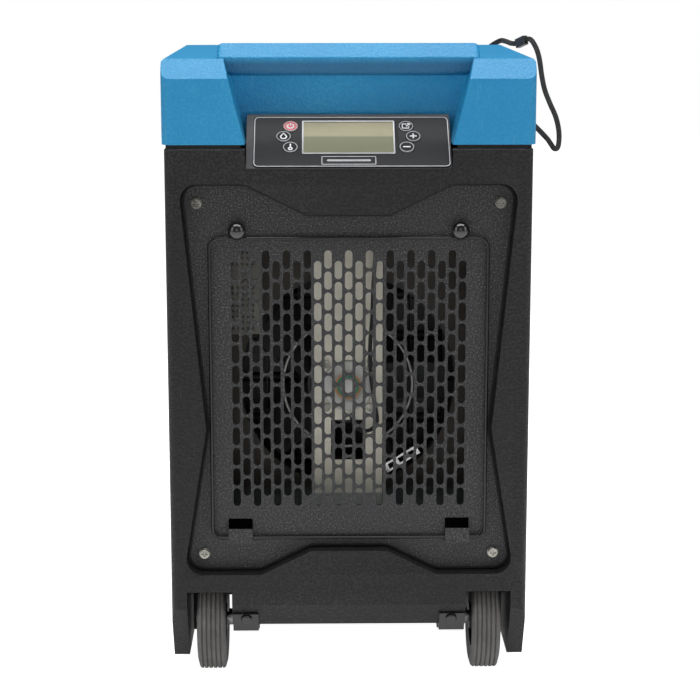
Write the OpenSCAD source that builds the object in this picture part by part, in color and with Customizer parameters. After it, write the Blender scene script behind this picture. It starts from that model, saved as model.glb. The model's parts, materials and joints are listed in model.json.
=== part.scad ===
// Portable commercial dehumidifier: moulded shell on two wheels, carry handle over an inclined
// keypad, perforated intake panel, axial fan, refrigeration circuit and condensate pump.
// Frame: X across, Y from the intake face (negative) to the rear (positive), Z up from the floor.

/* [Body] */
// Width of the black shell
body_w = 340; // [330:1:350]
// Y of the flat front face
front_y = -190; // [-195:1:-188]
// Y of the rear wall's outer face
rear_y = 176; // [170:1:182]
// Height of the shell's open top edge
body_top_z = 515; // [515:0.5:521]
// Height of the split between the shell and the base tray
split_z = 95; // [94:1:96]
// Wall thickness of the mouldings
wall = 4; // [3:0.5:5]
// Plan radius of the vertical corners
corner_r = 8; // [4:1:12]

/* [Cover and handle] */
// Width of the blue cover
cover_w = 344; // [342:1:348]
// Underside of the cover
cover_bottom_z = 518; // [517:0.5:520]
// Top deck of the cover
cover_top_z = 595.5; // [590:0.5:600]
// Chamfer along the cover's front and rear top edges
cover_chamfer = 17.5; // [8:0.5:20]
// Top of the carry handle
handle_top_z = 609; // [605:1:620]
// Depth of the handle's section
handle_depth = 19.5; // [18:0.5:22]
// Clear space for the fingers behind the handle
finger_gap = 23.5; // [22:0.5:30]

/* [Intake] */
// Depth of the recess that holds the intake panel
recess_depth = 15; // [12:1:18]
// Width of one air slot
slot_w = 7; // [5:0.5:7.5]
// Height of one air slot
slot_h = 17.4; // [14:0.2:18]
// Distance between slots in a column
slot_pitch_z = 19.9; // [19:0.1:21]
// Distance between columns
slot_pitch_x = 9.69; // [9:0.01:10]
// Number of columns, odd
slot_columns = 23; // [19:2:23]
// Wire diameter of the filter frame
frame_wire = 3; // [2.5:0.5:3.5]

/* [Keypad] */
// Y and Z span of the inclined keypad face
keypad_run = 58; // [54:1:60]
keypad_rise = 45.5; // [42:0.5:48]
// Diameter of a button cap
button_d = 14; // [13:0.2:14.2]
// Travel of a button
button_travel = 0.5; // [0.3:0.1:0.8]

/* [Running gear] */
// Radius of the wheels
wheel_r = 50; // [48:1:52]
// Distance from the middle to a wheel's centre plane
wheel_x = 132.5; // [131:0.5:134]
// Y of the axle
axle_y = -140; // [-142:1:-138]
// Radius of the axle
axle_r = 5; // [4:0.5:6]
// Underside of the base tray
base_z = 54.6; // [52:0.2:58]
// Underside of the side skids
skid_z = 18; // [14:1:22]

/* [Fan] */
// Height of the fan's axis
fan_z = 279; // [270:1:285]
// Radius of the shroud's opening
shroud_r = 105; // [104:1:108]
// Tip radius of the blades
blade_tip_r = 98; // [90:1:99]
// Number of blades
blade_count = 5; // [3:1:7]

/* [Hidden] */

$fn = 48;
eps = 1;
half_w = body_w / 2;
half_cover = cover_w / 2;
depth = rear_y - front_y;

// Lower front: the face slopes back under a crease
crease_z = 77.7;
slope_run = 13;
slope_angle = atan2(slope_run, crease_z - base_z);

// Wheel arches
arch_x = [112, 155];
arch_top_z = 90.7;
arch_r = wheel_r + 5;
tunnel_half = 8;
skid_kink_z = 73.7;
skid_front_y = front_y + 31;
skid_w = 20;
foot_h = skid_z;
foot_pad = 22.5;
foot_x = 147.5;
foot_y = 150;
foot_r = 17;

// Intake recess: bow-tie outline and the ledge that carries the panel
recess_top_z = 482;
recess_bottom_z = 108;
recess_corner_x = 157.5;
recess_waist_x = 134.4;
recess_waist_z = 250;
dip_top = [38, 453.5];
dip_top_end_x = 96;
dip_bottom = [36, 131.5];
dip_bottom_end_x = 83.6;
recess_round = 8;
ledge_w = 12;
panel_gap = 1.5;
panel_t = 2;
panel_y = front_y + recess_depth;

// Slots
slot_bottom_z = 172.2;
slot_rows = 12;

// Filter frame, its knobs and its hooks
frame_x = 130;
frame_bottom_z = 141.5;
frame_top_z = 430.3;
frame_corner_r = 9;
frame_y = panel_y - 3.5;
knob_x = 104;
knob_z = 437.5;
knob_r = 8.4;
stem_r = 2.5;
running = 0.05;
lug_t = 2;
hook_x = 103.5;
hook_w = 23;
hook_hole_top_z = 159.8;
hook_top_z = 151.5;
hook_bottom_z = 137;
hook_t = 1.5;
hook_out = 8;

// Panel screws
screw_top = [141.5, 462.8];
screw_bottom = [138.4, 125.5];
screw_head_r = 4.6;
washer_r = 5.3;

// Keypad face, in its own frame: x across, y up the slope, z outwards
keypad_z = 496;
keypad_tilt = atan2(keypad_rise, keypad_run);
keypad_len = norm([keypad_run, keypad_rise]);
bezel_half = 95;
overlay_x = [-88.5, 94.3];
overlay_y = [1.7, 70];
overlay_t = 0.8;
lcd_half = 42.4;
lcd_y = [20.6, 62.2];
bezel_t = 5;
button_row = [28.2, 42.7, 56.4];
button_out = [54, 60.4, 54];
button_gap = 0.4;
notch_half = 95.6;
notch_z = 494.8;

// Cover recess between the two blocks
recess_top_half = 115;
recess_low_half = 96.5;
recess_low_z = 522;
handle_front_y = front_y + 19;
cover_back_y = handle_front_y + handle_depth + finger_gap;
hump_half = 113;
hump_h = 1;

// Fan
bracket_y = -126;
bracket_half = 33.5;
bracket_t = 1.5;
bracket_z = [171.6, 470];
flange_d = 8;
motor_flange_r = 24.5;
motor_screw = [21, 21.4];
can_r = 39;
shaft_r = 4;
guard_r = 63;
guard_y = -114.9;
guard_wire = 3;
shroud_y = -104;
sheet_t = 2;
blade_y = -99;
blade_pitch = 32;
blade_chord = 48;

// Coils
condenser_y = -42;
evaporator_y = 34;
coil_depth = 36;
coil_half = 148;
coil_z = [122, 462];
tube_r = 5;
tube_rows = 8;
fin_pitch = 16;
fin_t = 1.2;

// Compressor and its neighbours
comp_x = -78;
comp_y = 116;
comp_r = 52;
comp_z = [108, 286];
accu_x = 18;
accu_y = 108;
accu_r = 24;
drier_x = -148;
drier_y = -4;
drier_r = 13;
drier_z = [190, 292];

// Base plate and tray
floor_z = 98;
pan_z = [100, 118];
pump_x = 108;
pump_y = 124;

// Rear openings
rear_half = 132;
rear_z = [140, 440];
rear_t = 2;
rear_margin = 12;
port_x = 118;
port_z = 112;
port_r = 6;
port_tip_y = 190;
inlet_x = -118;
inlet_z = 112;

// Strap: centre line of the flat webbing, from the anchor over the top edge and back to the side
strap_w = 5.5;
strap_t = 1.6;
strap_route = [
  [150, 182, 566], [150.2, 182, 582], [160, 181, 592], [170.7, 174, 599], [176.1, 166, 598.9],
  [181.3, 157, 597.1], [186.5, 148, 597.2], [191, 141, 599.2], [195.1, 135, 602], [199.5, 130.5, 602],
  [203.5, 127.5, 596.7], [206.8, 125.5, 589], [209.1, 124, 579.5], [211.4, 122, 563.7],
  [214.6, 120, 549], [220.2, 118, 534.8], [226.3, 116, 521], [229.6, 115, 507.8],
  [230.2, 114, 496.1], [228.6, 112.5, 488.2], [225, 111, 487.2], [221.5, 110, 491.6],
  [217.8, 109, 496.8], [212.6, 108, 502.4], [205, 107.5, 510], [195, 107, 519.5],
  [185, 106.5, 529], [175.5, 106, 537]];
slider_at = [191, 141, 599.2];

// ---------- helpers ----------

// Extrudes an XZ outline along +Y, from y0 over length
module along_y(y0, length) {
  translate([0, y0 + length, 0])
    rotate([90, 0, 0])
      linear_extrude(length)
        children();
}

// Extrudes a YZ outline along X, centred
module along_x(length) {
  rotate([90, 0, 90])
    linear_extrude(length, center = true)
      children();
}

// A cylinder along Y from y0, centred on x, z
module rod_y(x, z, y0, length, r) {
  translate([x, y0 + length, z])
    rotate([90, 0, 0])
      cylinder(h = length, r = r);
}

// A cylinder along X, centred
module rod_x(x, y, z, length, r) {
  translate([x, y, z])
    rotate([0, 90, 0])
      cylinder(h = length, r = r, center = true);
}

// A box given by its lowest and highest corners
module block(low, high) {
  translate(low)
    cube(high - low);
}

// The same thing on both sides of the middle plane
module both_sides() {
  children();
  mirror([1, 0, 0])
    children();
}

// Keypad frame
module on_keypad() {
  translate([0, front_y, keypad_z])
    rotate([keypad_tilt, 0, 0])
      children();
}

// Frame of the sloping lower front: local z runs up the slope, local -y points outwards
module on_slope() {
  translate([0, front_y, crease_z])
    rotate([slope_angle, 0, 0])
      children();
}

function unit(v) = v / norm(v);

// Direction of a route at point i
function heading(route, i) =
  unit(route[min(i + 1, len(route) - 1)] - route[max(i - 1, 0)]);

// Catmull-Rom point between route points i and i + 1
function spline_at(route, i, t) =
  let(a = route[max(i - 1, 0)], b = route[i], c = route[i + 1], d = route[min(i + 2, len(route) - 1)])
  0.5 * ((2 * b) + (c - a) * t + (2 * a - 5 * b + 4 * c - d) * t * t
    + (3 * b - a - 3 * c + d) * t * t * t);

// A route made smooth with n points to each stretch
function smooth(route, n) = concat(
  [for (i = [0 : len(route) - 2]) for (k = [0 : n - 1]) spline_at(route, i, k / n)],
  [route[len(route) - 1]]);

// Ring of the swept section at one point, w wide across and t thick along "flat"
function ring_at(p, dir, flat, w, t, sides) =
  let(across = unit(cross(dir, flat)), thick = cross(across, dir))
  [for (k = [0 : sides - 1])
    p + across * (w / 2 * cos(360 * k / sides)) + thick * (t / 2 * sin(360 * k / sides))];

// A tube or strap swept along a route
module sweep(route, w, t, flat = [0.02, 1, 0.03], sides = 8) {
  count = len(route);
  points = [for (i = [0 : count - 1])
    each ring_at(route[i], heading(route, i), flat, w, t, sides)];
  walls = [for (i = [0 : count - 2]) for (k = [0 : sides - 1])
    [i * sides + k, i * sides + (k + 1) % sides,
     (i + 1) * sides + (k + 1) % sides, (i + 1) * sides + k]];
  first = [for (k = [sides - 1 : -1 : 0]) k];
  last = [for (k = [0 : sides - 1]) (count - 1) * sides + k];
  polyhedron(points, concat(walls, [first], [last]));
}

// ---------- outlines ----------

// Rounded rectangle in plan
module plan(w, y0, y1, r) {
  translate([0, (y0 + y1) / 2])
    offset(r = r)
      square([w - 2 * r, y1 - y0 - 2 * r], center = true);
}

// Bow-tie outline of the intake recess, in XZ
module bow_tie() {
  half = [
    dip_top, [dip_top_end_x, recess_top_z], [recess_corner_x, recess_top_z],
    [recess_waist_x, recess_waist_z], [recess_corner_x, recess_bottom_z],
    [dip_bottom_end_x, recess_bottom_z], dip_bottom];
  mirrored = [for (i = [len(half) - 1 : -1 : 0]) [-half[i][0], half[i][1]]];
  offset(r = -recess_round)
    offset(delta = 2 * recess_round)
      offset(r = recess_round)
        offset(delta = -2 * recess_round)
          polygon(concat(half, mirrored));
}

// One air slot
module slot() {
  straight = (slot_h - slot_w) / 2;
  square([slot_w, 2 * straight], center = true);
  translate([0, straight])
    circle(d = slot_w);
  translate([0, -straight])
    circle(d = slot_w);
}

// All air slots: every second column sits half a pitch higher
module slot_field() {
  middle = (slot_columns - 1) / 2;
  for (c = [0 : slot_columns - 1]) {
    lift = (c % 2 == 0) ? 0 : slot_pitch_z / 2;
    for (r = [0 : slot_rows - 1])
      translate([(c - middle) * slot_pitch_x, slot_bottom_z + slot_h / 2 + lift + r * slot_pitch_z])
        slot();
  }
}

// Gap between the cover's two blocks, as an XZ trapezium
module block_gap(grow = 0) {
  slope = (recess_top_half - recess_low_half) / (cover_top_z - recess_low_z);
  low_z = cover_bottom_z - 2 * eps;
  high_z = handle_top_z + 2 * eps;
  low = recess_low_half + slope * (low_z - recess_low_z) + grow;
  high = recess_low_half + slope * (high_z - recess_low_z) + grow;
  polygon([[-low, low_z], [low, low_z], [high, high_z], [-high, high_z]]);
}

// ---------- mouldings ----------

module base_outer() {
  intersection() {
    translate([0, 0, skid_z])
      linear_extrude(split_z - skid_z)
        plan(body_w, front_y, rear_y, corner_r);
    union() {
      along_x(body_w)
        polygon([[front_y, split_z], [front_y, crease_z], [front_y + slope_run, base_z],
          [rear_y, base_z], [rear_y, split_z]]);
      both_sides()
        translate([half_w - skid_w / 2, 0, 0])
          along_x(skid_w)
            polygon([[front_y, split_z], [front_y, skid_kink_z], [skid_front_y, skid_z],
              [rear_y - 6, skid_z], [rear_y, skid_z + 10], [rear_y, split_z]]);
      both_sides()
        block([foot_x - foot_pad, foot_y - foot_pad, skid_z],
          [half_w, foot_y + foot_pad, base_z + eps]);
    }
  }
}

module wheel_space(grow) {
  rod_x((arch_x[0] + arch_x[1]) / 2, axle_y, wheel_r, arch_x[1] - arch_x[0] + 2 * grow, arch_r + grow);
  block([arch_x[0] - grow, front_y - eps, -eps],
    [arch_x[1] + grow, axle_y, arch_top_z + grow]);
  block([arch_x[0] - grow, axle_y - arch_r - grow, -eps],
    [arch_x[1] + grow, axle_y + arch_r + grow, wheel_r]);
}

// Lower moulding: tray, wheel arches and skids
module base_tray() {
  color("#3a393c")
    difference() {
      union() {
        difference() {
          base_outer();
          block([-half_w + wall, -76, base_z + wall], [half_w - wall, rear_y - wall, split_z + eps]);
          block([-arch_x[0] + wall, front_y + slope_run + wall, base_z + wall],
            [arch_x[0] - wall, -75, split_z + eps]);
        }
        intersection() {
          both_sides()
            wheel_space(wall);
          block([-half_w + wall, front_y + slope_run + wall, base_z],
            [half_w - wall, -70, split_z + 30]);
        }
      }
      both_sides()
        wheel_space(0);
      block([-arch_x[0] - wall - eps, axle_y - tunnel_half, base_z - 8],
        [arch_x[0] + wall + eps, axle_y + tunnel_half, wheel_r + axle_r + 1.5]);
      both_sides()
        translate([foot_x, foot_y, skid_z - eps])
          cylinder(h = 13, r = 3.1);
    }
}

module shell_outer() {
  edge = 1.8;
  intersection() {
    translate([0, 0, split_z])
      linear_extrude(body_top_z - split_z)
        plan(body_w, front_y, rear_y, corner_r);
    along_y(front_y - eps, depth + 2 * eps)
      polygon([[-half_w, split_z], [half_w, split_z], [half_w, body_top_z - edge],
        [half_w - edge, body_top_z], [-half_w + edge, body_top_z], [-half_w, body_top_z - edge]]);
    along_x(body_w + 2 * eps)
      polygon([[front_y, split_z], [rear_y, split_z], [rear_y, body_top_z - edge],
        [rear_y - edge, body_top_z], [front_y + edge, body_top_z], [front_y, body_top_z - edge]]);
  }
}

// Main shell: walls, the intake recess with its ledge, the keypad notch and the rear opening
module body_shell() {
  ledge_y = panel_y + panel_t;
  color("#2a2a2a")
    difference() {
      union() {
        difference() {
          shell_outer();
          block([-half_w + wall, front_y + wall, split_z - eps],
            [half_w - wall, rear_y - wall, body_top_z + eps]);
        }
        along_y(front_y + wall - 0.5, recess_depth + 2)
          offset(delta = wall)
            bow_tie();
      }
      along_y(front_y - eps, ledge_y - front_y + eps)
        bow_tie();
      along_y(ledge_y - eps, 10)
        offset(delta = -ledge_w)
          bow_tie();
      both_sides() {
        rod_y(screw_top[0], screw_top[1], ledge_y - eps, 10, 2.1);
        rod_y(screw_bottom[0], screw_bottom[1], ledge_y - eps, 10, 2.1);
      }
      along_y(front_y - eps, wall + 2 * eps)
        polygon([[-notch_half, notch_z], [notch_half, notch_z], [notch_half, body_top_z + eps],
          [-notch_half, body_top_z + eps]]);
      block([-rear_half, rear_y - wall - eps, rear_z[0]], [rear_half, rear_y + eps, rear_z[1]]);
      block([-rear_half - rear_margin, rear_y - rear_t, rear_z[0] - rear_margin],
        [rear_half + rear_margin, rear_y + eps, rear_z[1] + rear_margin]);
      rod_y(port_x, port_z, rear_y - wall - eps, wall + 2 * eps, 9);
      block([inlet_x - 14, rear_y - wall - eps, inlet_z - 10], [inlet_x + 14, rear_y + eps, inlet_z + 10]);
    }
}

module cover_outer() {
  edge = 2.5;
  intersection() {
    translate([0, 0, cover_bottom_z])
      linear_extrude(cover_top_z - cover_bottom_z)
        plan(cover_w, front_y, rear_y, corner_r);
    along_y(front_y - eps, depth + 2 * eps)
      polygon([[-half_cover, cover_bottom_z], [half_cover, cover_bottom_z],
        [half_cover, cover_top_z - edge], [half_cover - edge, cover_top_z],
        [-half_cover + edge, cover_top_z], [-half_cover, cover_top_z - edge]]);
    along_x(cover_w + 2 * eps)
      polygon([[front_y, cover_bottom_z], [rear_y, cover_bottom_z],
        [rear_y, cover_top_z - cover_chamfer], [rear_y - cover_chamfer, cover_top_z],
        [front_y + cover_chamfer, cover_top_z], [front_y, cover_top_z - cover_chamfer]]);
  }
}

// Blue cover: two blocks joined by a deck behind the handle space
module top_cover() {
  inner = half_cover - wall;
  color("#3d8dbd")
    difference() {
      union() {
        difference() {
          cover_outer();
          difference() {
            intersection() {
              block([-inner, front_y + wall, cover_bottom_z - eps],
                [inner, rear_y - wall, cover_top_z - wall]);
              along_x(cover_w)
                polygon([[front_y, cover_bottom_z - eps], [rear_y, cover_bottom_z - eps],
                  [rear_y, cover_top_z - cover_chamfer - wall],
                  [rear_y - cover_chamfer - wall, cover_top_z],
                  [front_y + cover_chamfer + wall, cover_top_z],
                  [front_y, cover_top_z - cover_chamfer - wall]]);
            }
            along_y(front_y, cover_back_y - front_y + wall)
              block_gap(wall);
          }
        }
        block([-hump_half, cover_back_y, cover_top_z - eps],
          [hump_half, rear_y - cover_chamfer - 12, cover_top_z + hump_h]);
      }
      along_y(front_y - eps, cover_back_y - front_y + eps)
        block_gap();
      translate([150, rear_y - eps - wall, 560])
        rotate([-90, 0, 0])
          cylinder(h = wall + 2 * eps, r = 2.1);
    }
}

// Bar of the carry handle: its upper front face carries on the cover's chamfer, and its ends stand
// on the blocks
module carry_handle() {
  front = handle_front_y;
  back = front + handle_depth;
  low = 579.5;
  crease = 596.5;
  end_half = 121;
  color("#4a9ac8")
    intersection() {
      along_x(2 * end_half)
        polygon([[front, crease], [front, low + 4.5], [front + 4.5, low], [back - 4.5, low],
          [back, low + 4.5], [back, handle_top_z - 5], [back - 4.5, handle_top_z],
          [front + handle_top_z - crease, handle_top_z]]);
      union() {
        along_y(front - eps, handle_depth + 2 * eps)
          block_gap();
        block([-end_half, front - eps, cover_top_z], [end_half, back + eps, handle_top_z + eps]);
      }
    }
}

// Seal between the cover and the shell, open at the keypad
module cover_gasket() {
  inset = 1.5;
  ring_w = 7;
  color("#141414")
    difference() {
      translate([0, 0, body_top_z])
        linear_extrude(cover_bottom_z - body_top_z)
          difference() {
            plan(body_w - 2 * inset, front_y + inset, rear_y - inset, corner_r - inset);
            plan(body_w - 2 * inset - 2 * ring_w, front_y + inset + ring_w,
              rear_y - inset - ring_w, 2);
          }
      block([-notch_half - 4, front_y - eps, body_top_z - eps],
        [notch_half + 4, front_y + 20, cover_bottom_z + eps]);
    }
}

// ---------- keypad ----------

module button_places() {
  for (side = [-1, 1])
    for (i = [0 : 2])
      translate([side * button_out[i], button_row[i], 0])
        children();
}

// Black plastic desk under the overlay, with a skirt down to the shell
module control_bezel() {
  skirt_t = 3.5;
  color("#1b1b1c")
    union() {
      on_keypad()
        difference() {
          block([-bezel_half, 0, -bezel_t], [bezel_half, keypad_len, 0]);
          block([-lcd_half - 3, lcd_y[0] - 3, -bezel_t - eps], [lcd_half + 3, lcd_y[1] + 3, eps]);
          block([-bezel_half - eps, -eps, -bezel_t - eps], [bezel_half + eps, 6, -1.5]);
          button_places() {
            translate([0, 0, -1.8])
              cylinder(h = 3, r = button_d / 2 + button_gap);
            translate([0, 0, -bezel_t - eps])
              cylinder(h = bezel_t + 2 * eps, r = 3.5);
          }
        }
      along_x(2 * bezel_half)
        polygon([[front_y, notch_z + 0.4], [front_y, keypad_z + 0.2], [front_y + skirt_t, keypad_z + 2],
          [front_y + skirt_t, notch_z + 0.4]]);
    }
}

// Flat keypad foil with its window and six button holes
module keypad_overlay() {
  color("#2b2d30")
    on_keypad()
      linear_extrude(overlay_t)
        difference() {
          translate([(overlay_x[0] + overlay_x[1]) / 2, (overlay_y[0] + overlay_y[1]) / 2])
            offset(r = 5)
              square([overlay_x[1] - overlay_x[0] - 10, overlay_y[1] - overlay_y[0] - 10],
                center = true);
          translate([-lcd_half, lcd_y[0]])
            square([2 * lcd_half, lcd_y[1] - lcd_y[0]]);
          for (side = [-1, 1])
            for (i = [0 : 2])
              translate([side * button_out[i], button_row[i]])
                circle(r = button_d / 2 + button_gap);
        }
}

module lcd_window() {
  clear = 0.2;
  color("#8f9173")
    on_keypad()
      block([-lcd_half + clear, lcd_y[0] + clear, -0.8], [lcd_half - clear, lcd_y[1] - clear, overlay_t]);
}

module lcd_module() {
  color("#b9bda0")
    on_keypad()
      block([-lcd_half - 2, lcd_y[0] - 2, -7.5], [lcd_half + 2, lcd_y[1] + 2, -0.8]);
}

// Heights under the foil: board, switch tops, and the button stems just clear of them
board_top = -9.6;
switch_top = -7.4;
stem_foot = switch_top + button_travel + 0.1;

// Circuit board with one tact switch under each button
module control_pcb() {
  color("#1f5b35")
    on_keypad() {
      block([-82, 6, board_top - 1.6], [82, 70, board_top]);
      button_places()
        translate([-3, -3, board_top - 0.1])
          cube([6, 6, switch_top - board_top + 0.1]);
    }
}

// One button: cap above the foil and a stem that reaches its switch
module button(x, y, tint) {
  color(tint)
    on_keypad()
      translate([x, y, 0]) {
        translate([0, 0, -0.9])
          cylinder(h = 2.5, r = button_d / 2);
        translate([0, 0, stem_foot])
          cylinder(h = -0.7 - stem_foot, r = 2.8);
      }
}

module power_button() {
  button(-button_out[2], button_row[2], "#c8323a");
}

module mode_button() {
  button(-button_out[1], button_row[1], "#2a2c2f");
}

module unit_button() {
  button(-button_out[0], button_row[0], "#2a2c2f");
}

module timer_button() {
  button(button_out[2], button_row[2], "#2a2c2f");
}

module plus_button() {
  button(button_out[1], button_row[1], "#2a2c2f");
}

module minus_button() {
  button(button_out[0], button_row[0], "#2a2c2f");
}

// ---------- intake panel ----------

// Lanced hook: a leg out of the panel and a tab up in front of the wire
module hook() {
  block([-hook_w / 2, -hook_out, hook_bottom_z], [hook_w / 2, eps / 2, hook_bottom_z + hook_t]);
  block([-hook_w / 2, -hook_out, hook_bottom_z], [hook_w / 2, -hook_out + hook_t, hook_top_z]);
}

// Perforated steel panel with screw, knob and hook holes
module front_panel() {
  color("#3c3c3e")
    union() {
      along_y(panel_y, panel_t)
        difference() {
          offset(delta = -panel_gap)
            bow_tie();
          slot_field();
          for (side = [-1, 1]) {
            translate([side * screw_top[0], screw_top[1]])
              circle(r = 2.8);
            translate([side * screw_bottom[0], screw_bottom[1]])
              circle(r = 2.8);
            translate([side * knob_x, knob_z])
              circle(r = stem_r + 1.2);
            translate([side * hook_x - hook_w / 2, hook_bottom_z + hook_t])
              square([hook_w, hook_hole_top_z - hook_bottom_z - hook_t]);
          }
        }
      for (side = [-1, 1])
        translate([side * hook_x, panel_y, 0])
          hook();
    }
}

// Phillips pan screw with a washer, head towards -Y
module panel_screw(x, z) {
  rod_y(x, z, panel_y - 1, 1, washer_r);
  difference() {
    rod_y(x, z, panel_y - 3.6, 2.7, screw_head_r);
    block([x - 0.6, panel_y - 4, z - 2.6], [x + 0.6, panel_y - 2.2, z + 2.6]);
    block([x - 2.6, panel_y - 4, z - 0.6], [x + 2.6, panel_y - 2.2, z + 0.6]);
  }
  rod_y(x, z, panel_y - 1, 7.5, 2);
}

module panel_screws() {
  color("#8f8f8f")
    for (side = [-1, 1]) {
      panel_screw(side * screw_top[0], screw_top[1]);
      panel_screw(side * screw_bottom[0], screw_bottom[1]);
    }
}

// One corner of the wire loop
module wire_corner(x, z, from) {
  translate([x, frame_y, z])
    rotate([90, 0, 0])
      rotate([0, 0, from])
        rotate_extrude(angle = 90)
          translate([frame_corner_r, 0])
            circle(d = frame_wire);
}

// Wire loop that clamps the filter, with a lug under each knob
module filter_frame() {
  r = frame_wire / 2;
  cr = frame_corner_r;
  mid_z = (frame_bottom_z + frame_top_z) / 2;
  straight_x = 2 * (frame_x - cr);
  straight_z = frame_top_z - frame_bottom_z - 2 * cr;
  color("#222224")
    union() {
      for (z = [frame_bottom_z, frame_top_z])
        rod_x(0, frame_y, z, straight_x, r);
      for (x = [-frame_x, frame_x])
        translate([x, frame_y, mid_z])
          cylinder(h = straight_z, r = r, center = true);
      wire_corner(frame_x - cr, frame_top_z - cr, 0);
      wire_corner(-frame_x + cr, frame_top_z - cr, 90);
      wire_corner(-frame_x + cr, frame_bottom_z + cr, 180);
      wire_corner(frame_x - cr, frame_bottom_z + cr, 270);
      for (side = [-1, 1])
        difference() {
          block([side * knob_x - 6, frame_y - lug_t / 2, frame_top_z - 0.5],
            [side * knob_x + 6, frame_y + lug_t / 2, knob_z + 6]);
          rod_y(side * knob_x, knob_z, frame_y - 5, 10, stem_r + running);
        }
    }
}

// Domed thumbscrew held in its lug by a collar
module thumb_knob(side) {
  lug_front = frame_y - lug_t / 2;
  lug_back = frame_y + lug_t / 2;
  head_y = -lug_front + 1.2;
  head_t = 1.6;
  dome_h = 5;
  dome_r = (knob_r * knob_r + dome_h * dome_h) / (2 * dome_h);
  color("#1e1e1e")
    translate([side * knob_x, 0, knob_z])
      rotate([90, 0, 0])
        rotate_extrude()
          union() {
            translate([0, -lug_front + 0.3])
              square([4, 1]);
            translate([0, head_y])
              square([knob_r, head_t]);
            intersection() {
              translate([0, head_y + head_t + dome_h - dome_r])
                circle(r = dome_r);
              translate([0, head_y + head_t - 0.1])
                square([knob_r, dome_h + 1]);
            }
            translate([0, -panel_y - 9])
              square([stem_r, -lug_front + panel_y + 10]);
            translate([0, -lug_back - 1.1])
              square([4, 0.8]);
          }
}

module thumb_knob_left() {
  thumb_knob(-1);
}

module thumb_knob_right() {
  thumb_knob(1);
}

// Captive nuts behind the panel
module knob_nuts() {
  color("#9a9a98")
    for (side = [-1, 1])
      difference() {
        rod_y(side * knob_x, knob_z, panel_y + panel_t, 5, 6);
        rod_y(side * knob_x, knob_z, panel_y + panel_t - eps, 7, stem_r + 0.5);
      }
}

// ---------- fan ----------

// Galvanised channel that carries the motor
module motor_bracket() {
  back = bracket_y + bracket_t;
  color("#b0aa96")
    difference() {
      union() {
        block([-bracket_half, bracket_y, bracket_z[0]], [bracket_half, back, bracket_z[1]]);
        both_sides()
          block([bracket_half - bracket_t, back - 0.5, bracket_z[0]],
            [bracket_half, back + flange_d, bracket_z[1]]);
        block([-bracket_half, back - 0.5, bracket_z[1] - bracket_t],
          [bracket_half, shroud_y, bracket_z[1]]);
      }
      rod_y(0, fan_z, bracket_y - eps, 4, motor_flange_r + 0.5);
      for (sx = [-1, 1])
        for (sz = [-1, 1])
          rod_y(sx * motor_screw[0], fan_z + sz * motor_screw[1], bracket_y - eps, 4, 2.2);
      block([-16.5, bracket_y - eps, 205], [15.5, back + eps, 245]);
    }
}

// Stator: label disc in the channel's hole, mounting flange and fixed shaft
module fan_motor() {
  back = bracket_y + bracket_t;
  color("#c9c9c6")
    difference() {
      union() {
        rod_y(0, fan_z, bracket_y - 2, 4.5, motor_flange_r);
        block([-27, back, fan_z - 27], [27, back + 2.5, fan_z + 27]);
        rod_y(0, fan_z, back, 26, 20);
        rod_y(0, fan_z, back + 20, 20, shaft_r);
      }
      for (sx = [-1, 1])
        for (sz = [-1, 1])
          rod_y(sx * motor_screw[0], fan_z + sz * motor_screw[1], back - eps, 5, 2.05);
    }
}

module motor_screws() {
  color("#dcdcda")
    for (sx = [-1, 1])
      for (sz = [-1, 1])
        translate([sx * motor_screw[0], 0, fan_z + sz * motor_screw[1]]) {
          rod_y(0, 0, bracket_y - 2.4, 2.4, 4);
          rod_y(0, 0, bracket_y - eps, 7, 2);
        }
}

// Blade: a pitched plate trimmed by the tip and root circles
module blade() {
  intersection() {
    translate([(can_r + blade_tip_r) / 2, 0, 0])
      rotate([blade_pitch, 0, 0])
        cube([blade_tip_r, 2.4, blade_chord], center = true);
    rotate([90, 0, 0])
      difference() {
        cylinder(h = 60, r = blade_tip_r, center = true);
        cylinder(h = 62, r = can_r - 0.6, center = true);
      }
  }
}

// External rotor: can, back disc with its bore, and blades
module fan_impeller() {
  can_y = -116;
  can_l = 30;
  color("#2f2f31")
    union() {
      difference() {
        rod_y(0, fan_z, can_y, can_l, can_r);
        rod_y(0, fan_z, can_y - eps, can_l - 2, can_r - 2.5);
        rod_y(0, fan_z, can_y, can_l + 5, shaft_r + running);
      }
      translate([0, blade_y, fan_z])
        for (i = [0 : blade_count - 1])
          rotate([0, i * 360 / blade_count, 0])
            blade();
    }
}

// Wire ring behind the channel's flanges
module fan_guard_ring() {
  color("#8b8b85")
    translate([0, guard_y, fan_z])
      rotate([90, 0, 0])
        rotate_extrude()
          translate([guard_r, 0])
            circle(d = guard_wire);
}

// Bulkhead with a rolled lip round the fan
module fan_shroud() {
  lip = 10;
  color("#4a4640")
    difference() {
      union() {
        block([-160, shroud_y, floor_z], [160, shroud_y + sheet_t, 484]);
        rod_y(0, fan_z, shroud_y, lip, shroud_r + 2);
      }
      rod_y(0, fan_z, shroud_y - eps, lip + 2 * eps, shroud_r);
    }
}

// Folded shelf in front of the bulkhead
module drip_shelf() {
  top = bracket_z[0];
  color("#9fa9ad")
    union() {
      block([-156, -168, top - 1.6], [156, shroud_y, top]);
      block([-156, -168, top - 10], [156, -166.4, top]);
      block([-156, shroud_y - 1.6, top - 22], [156, shroud_y, top]);
    }
}

// ---------- refrigeration circuit ----------

function tube_z(i) = coil_z[0] + (i + 0.5) * (coil_z[1] - coil_z[0]) / tube_rows;

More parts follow.
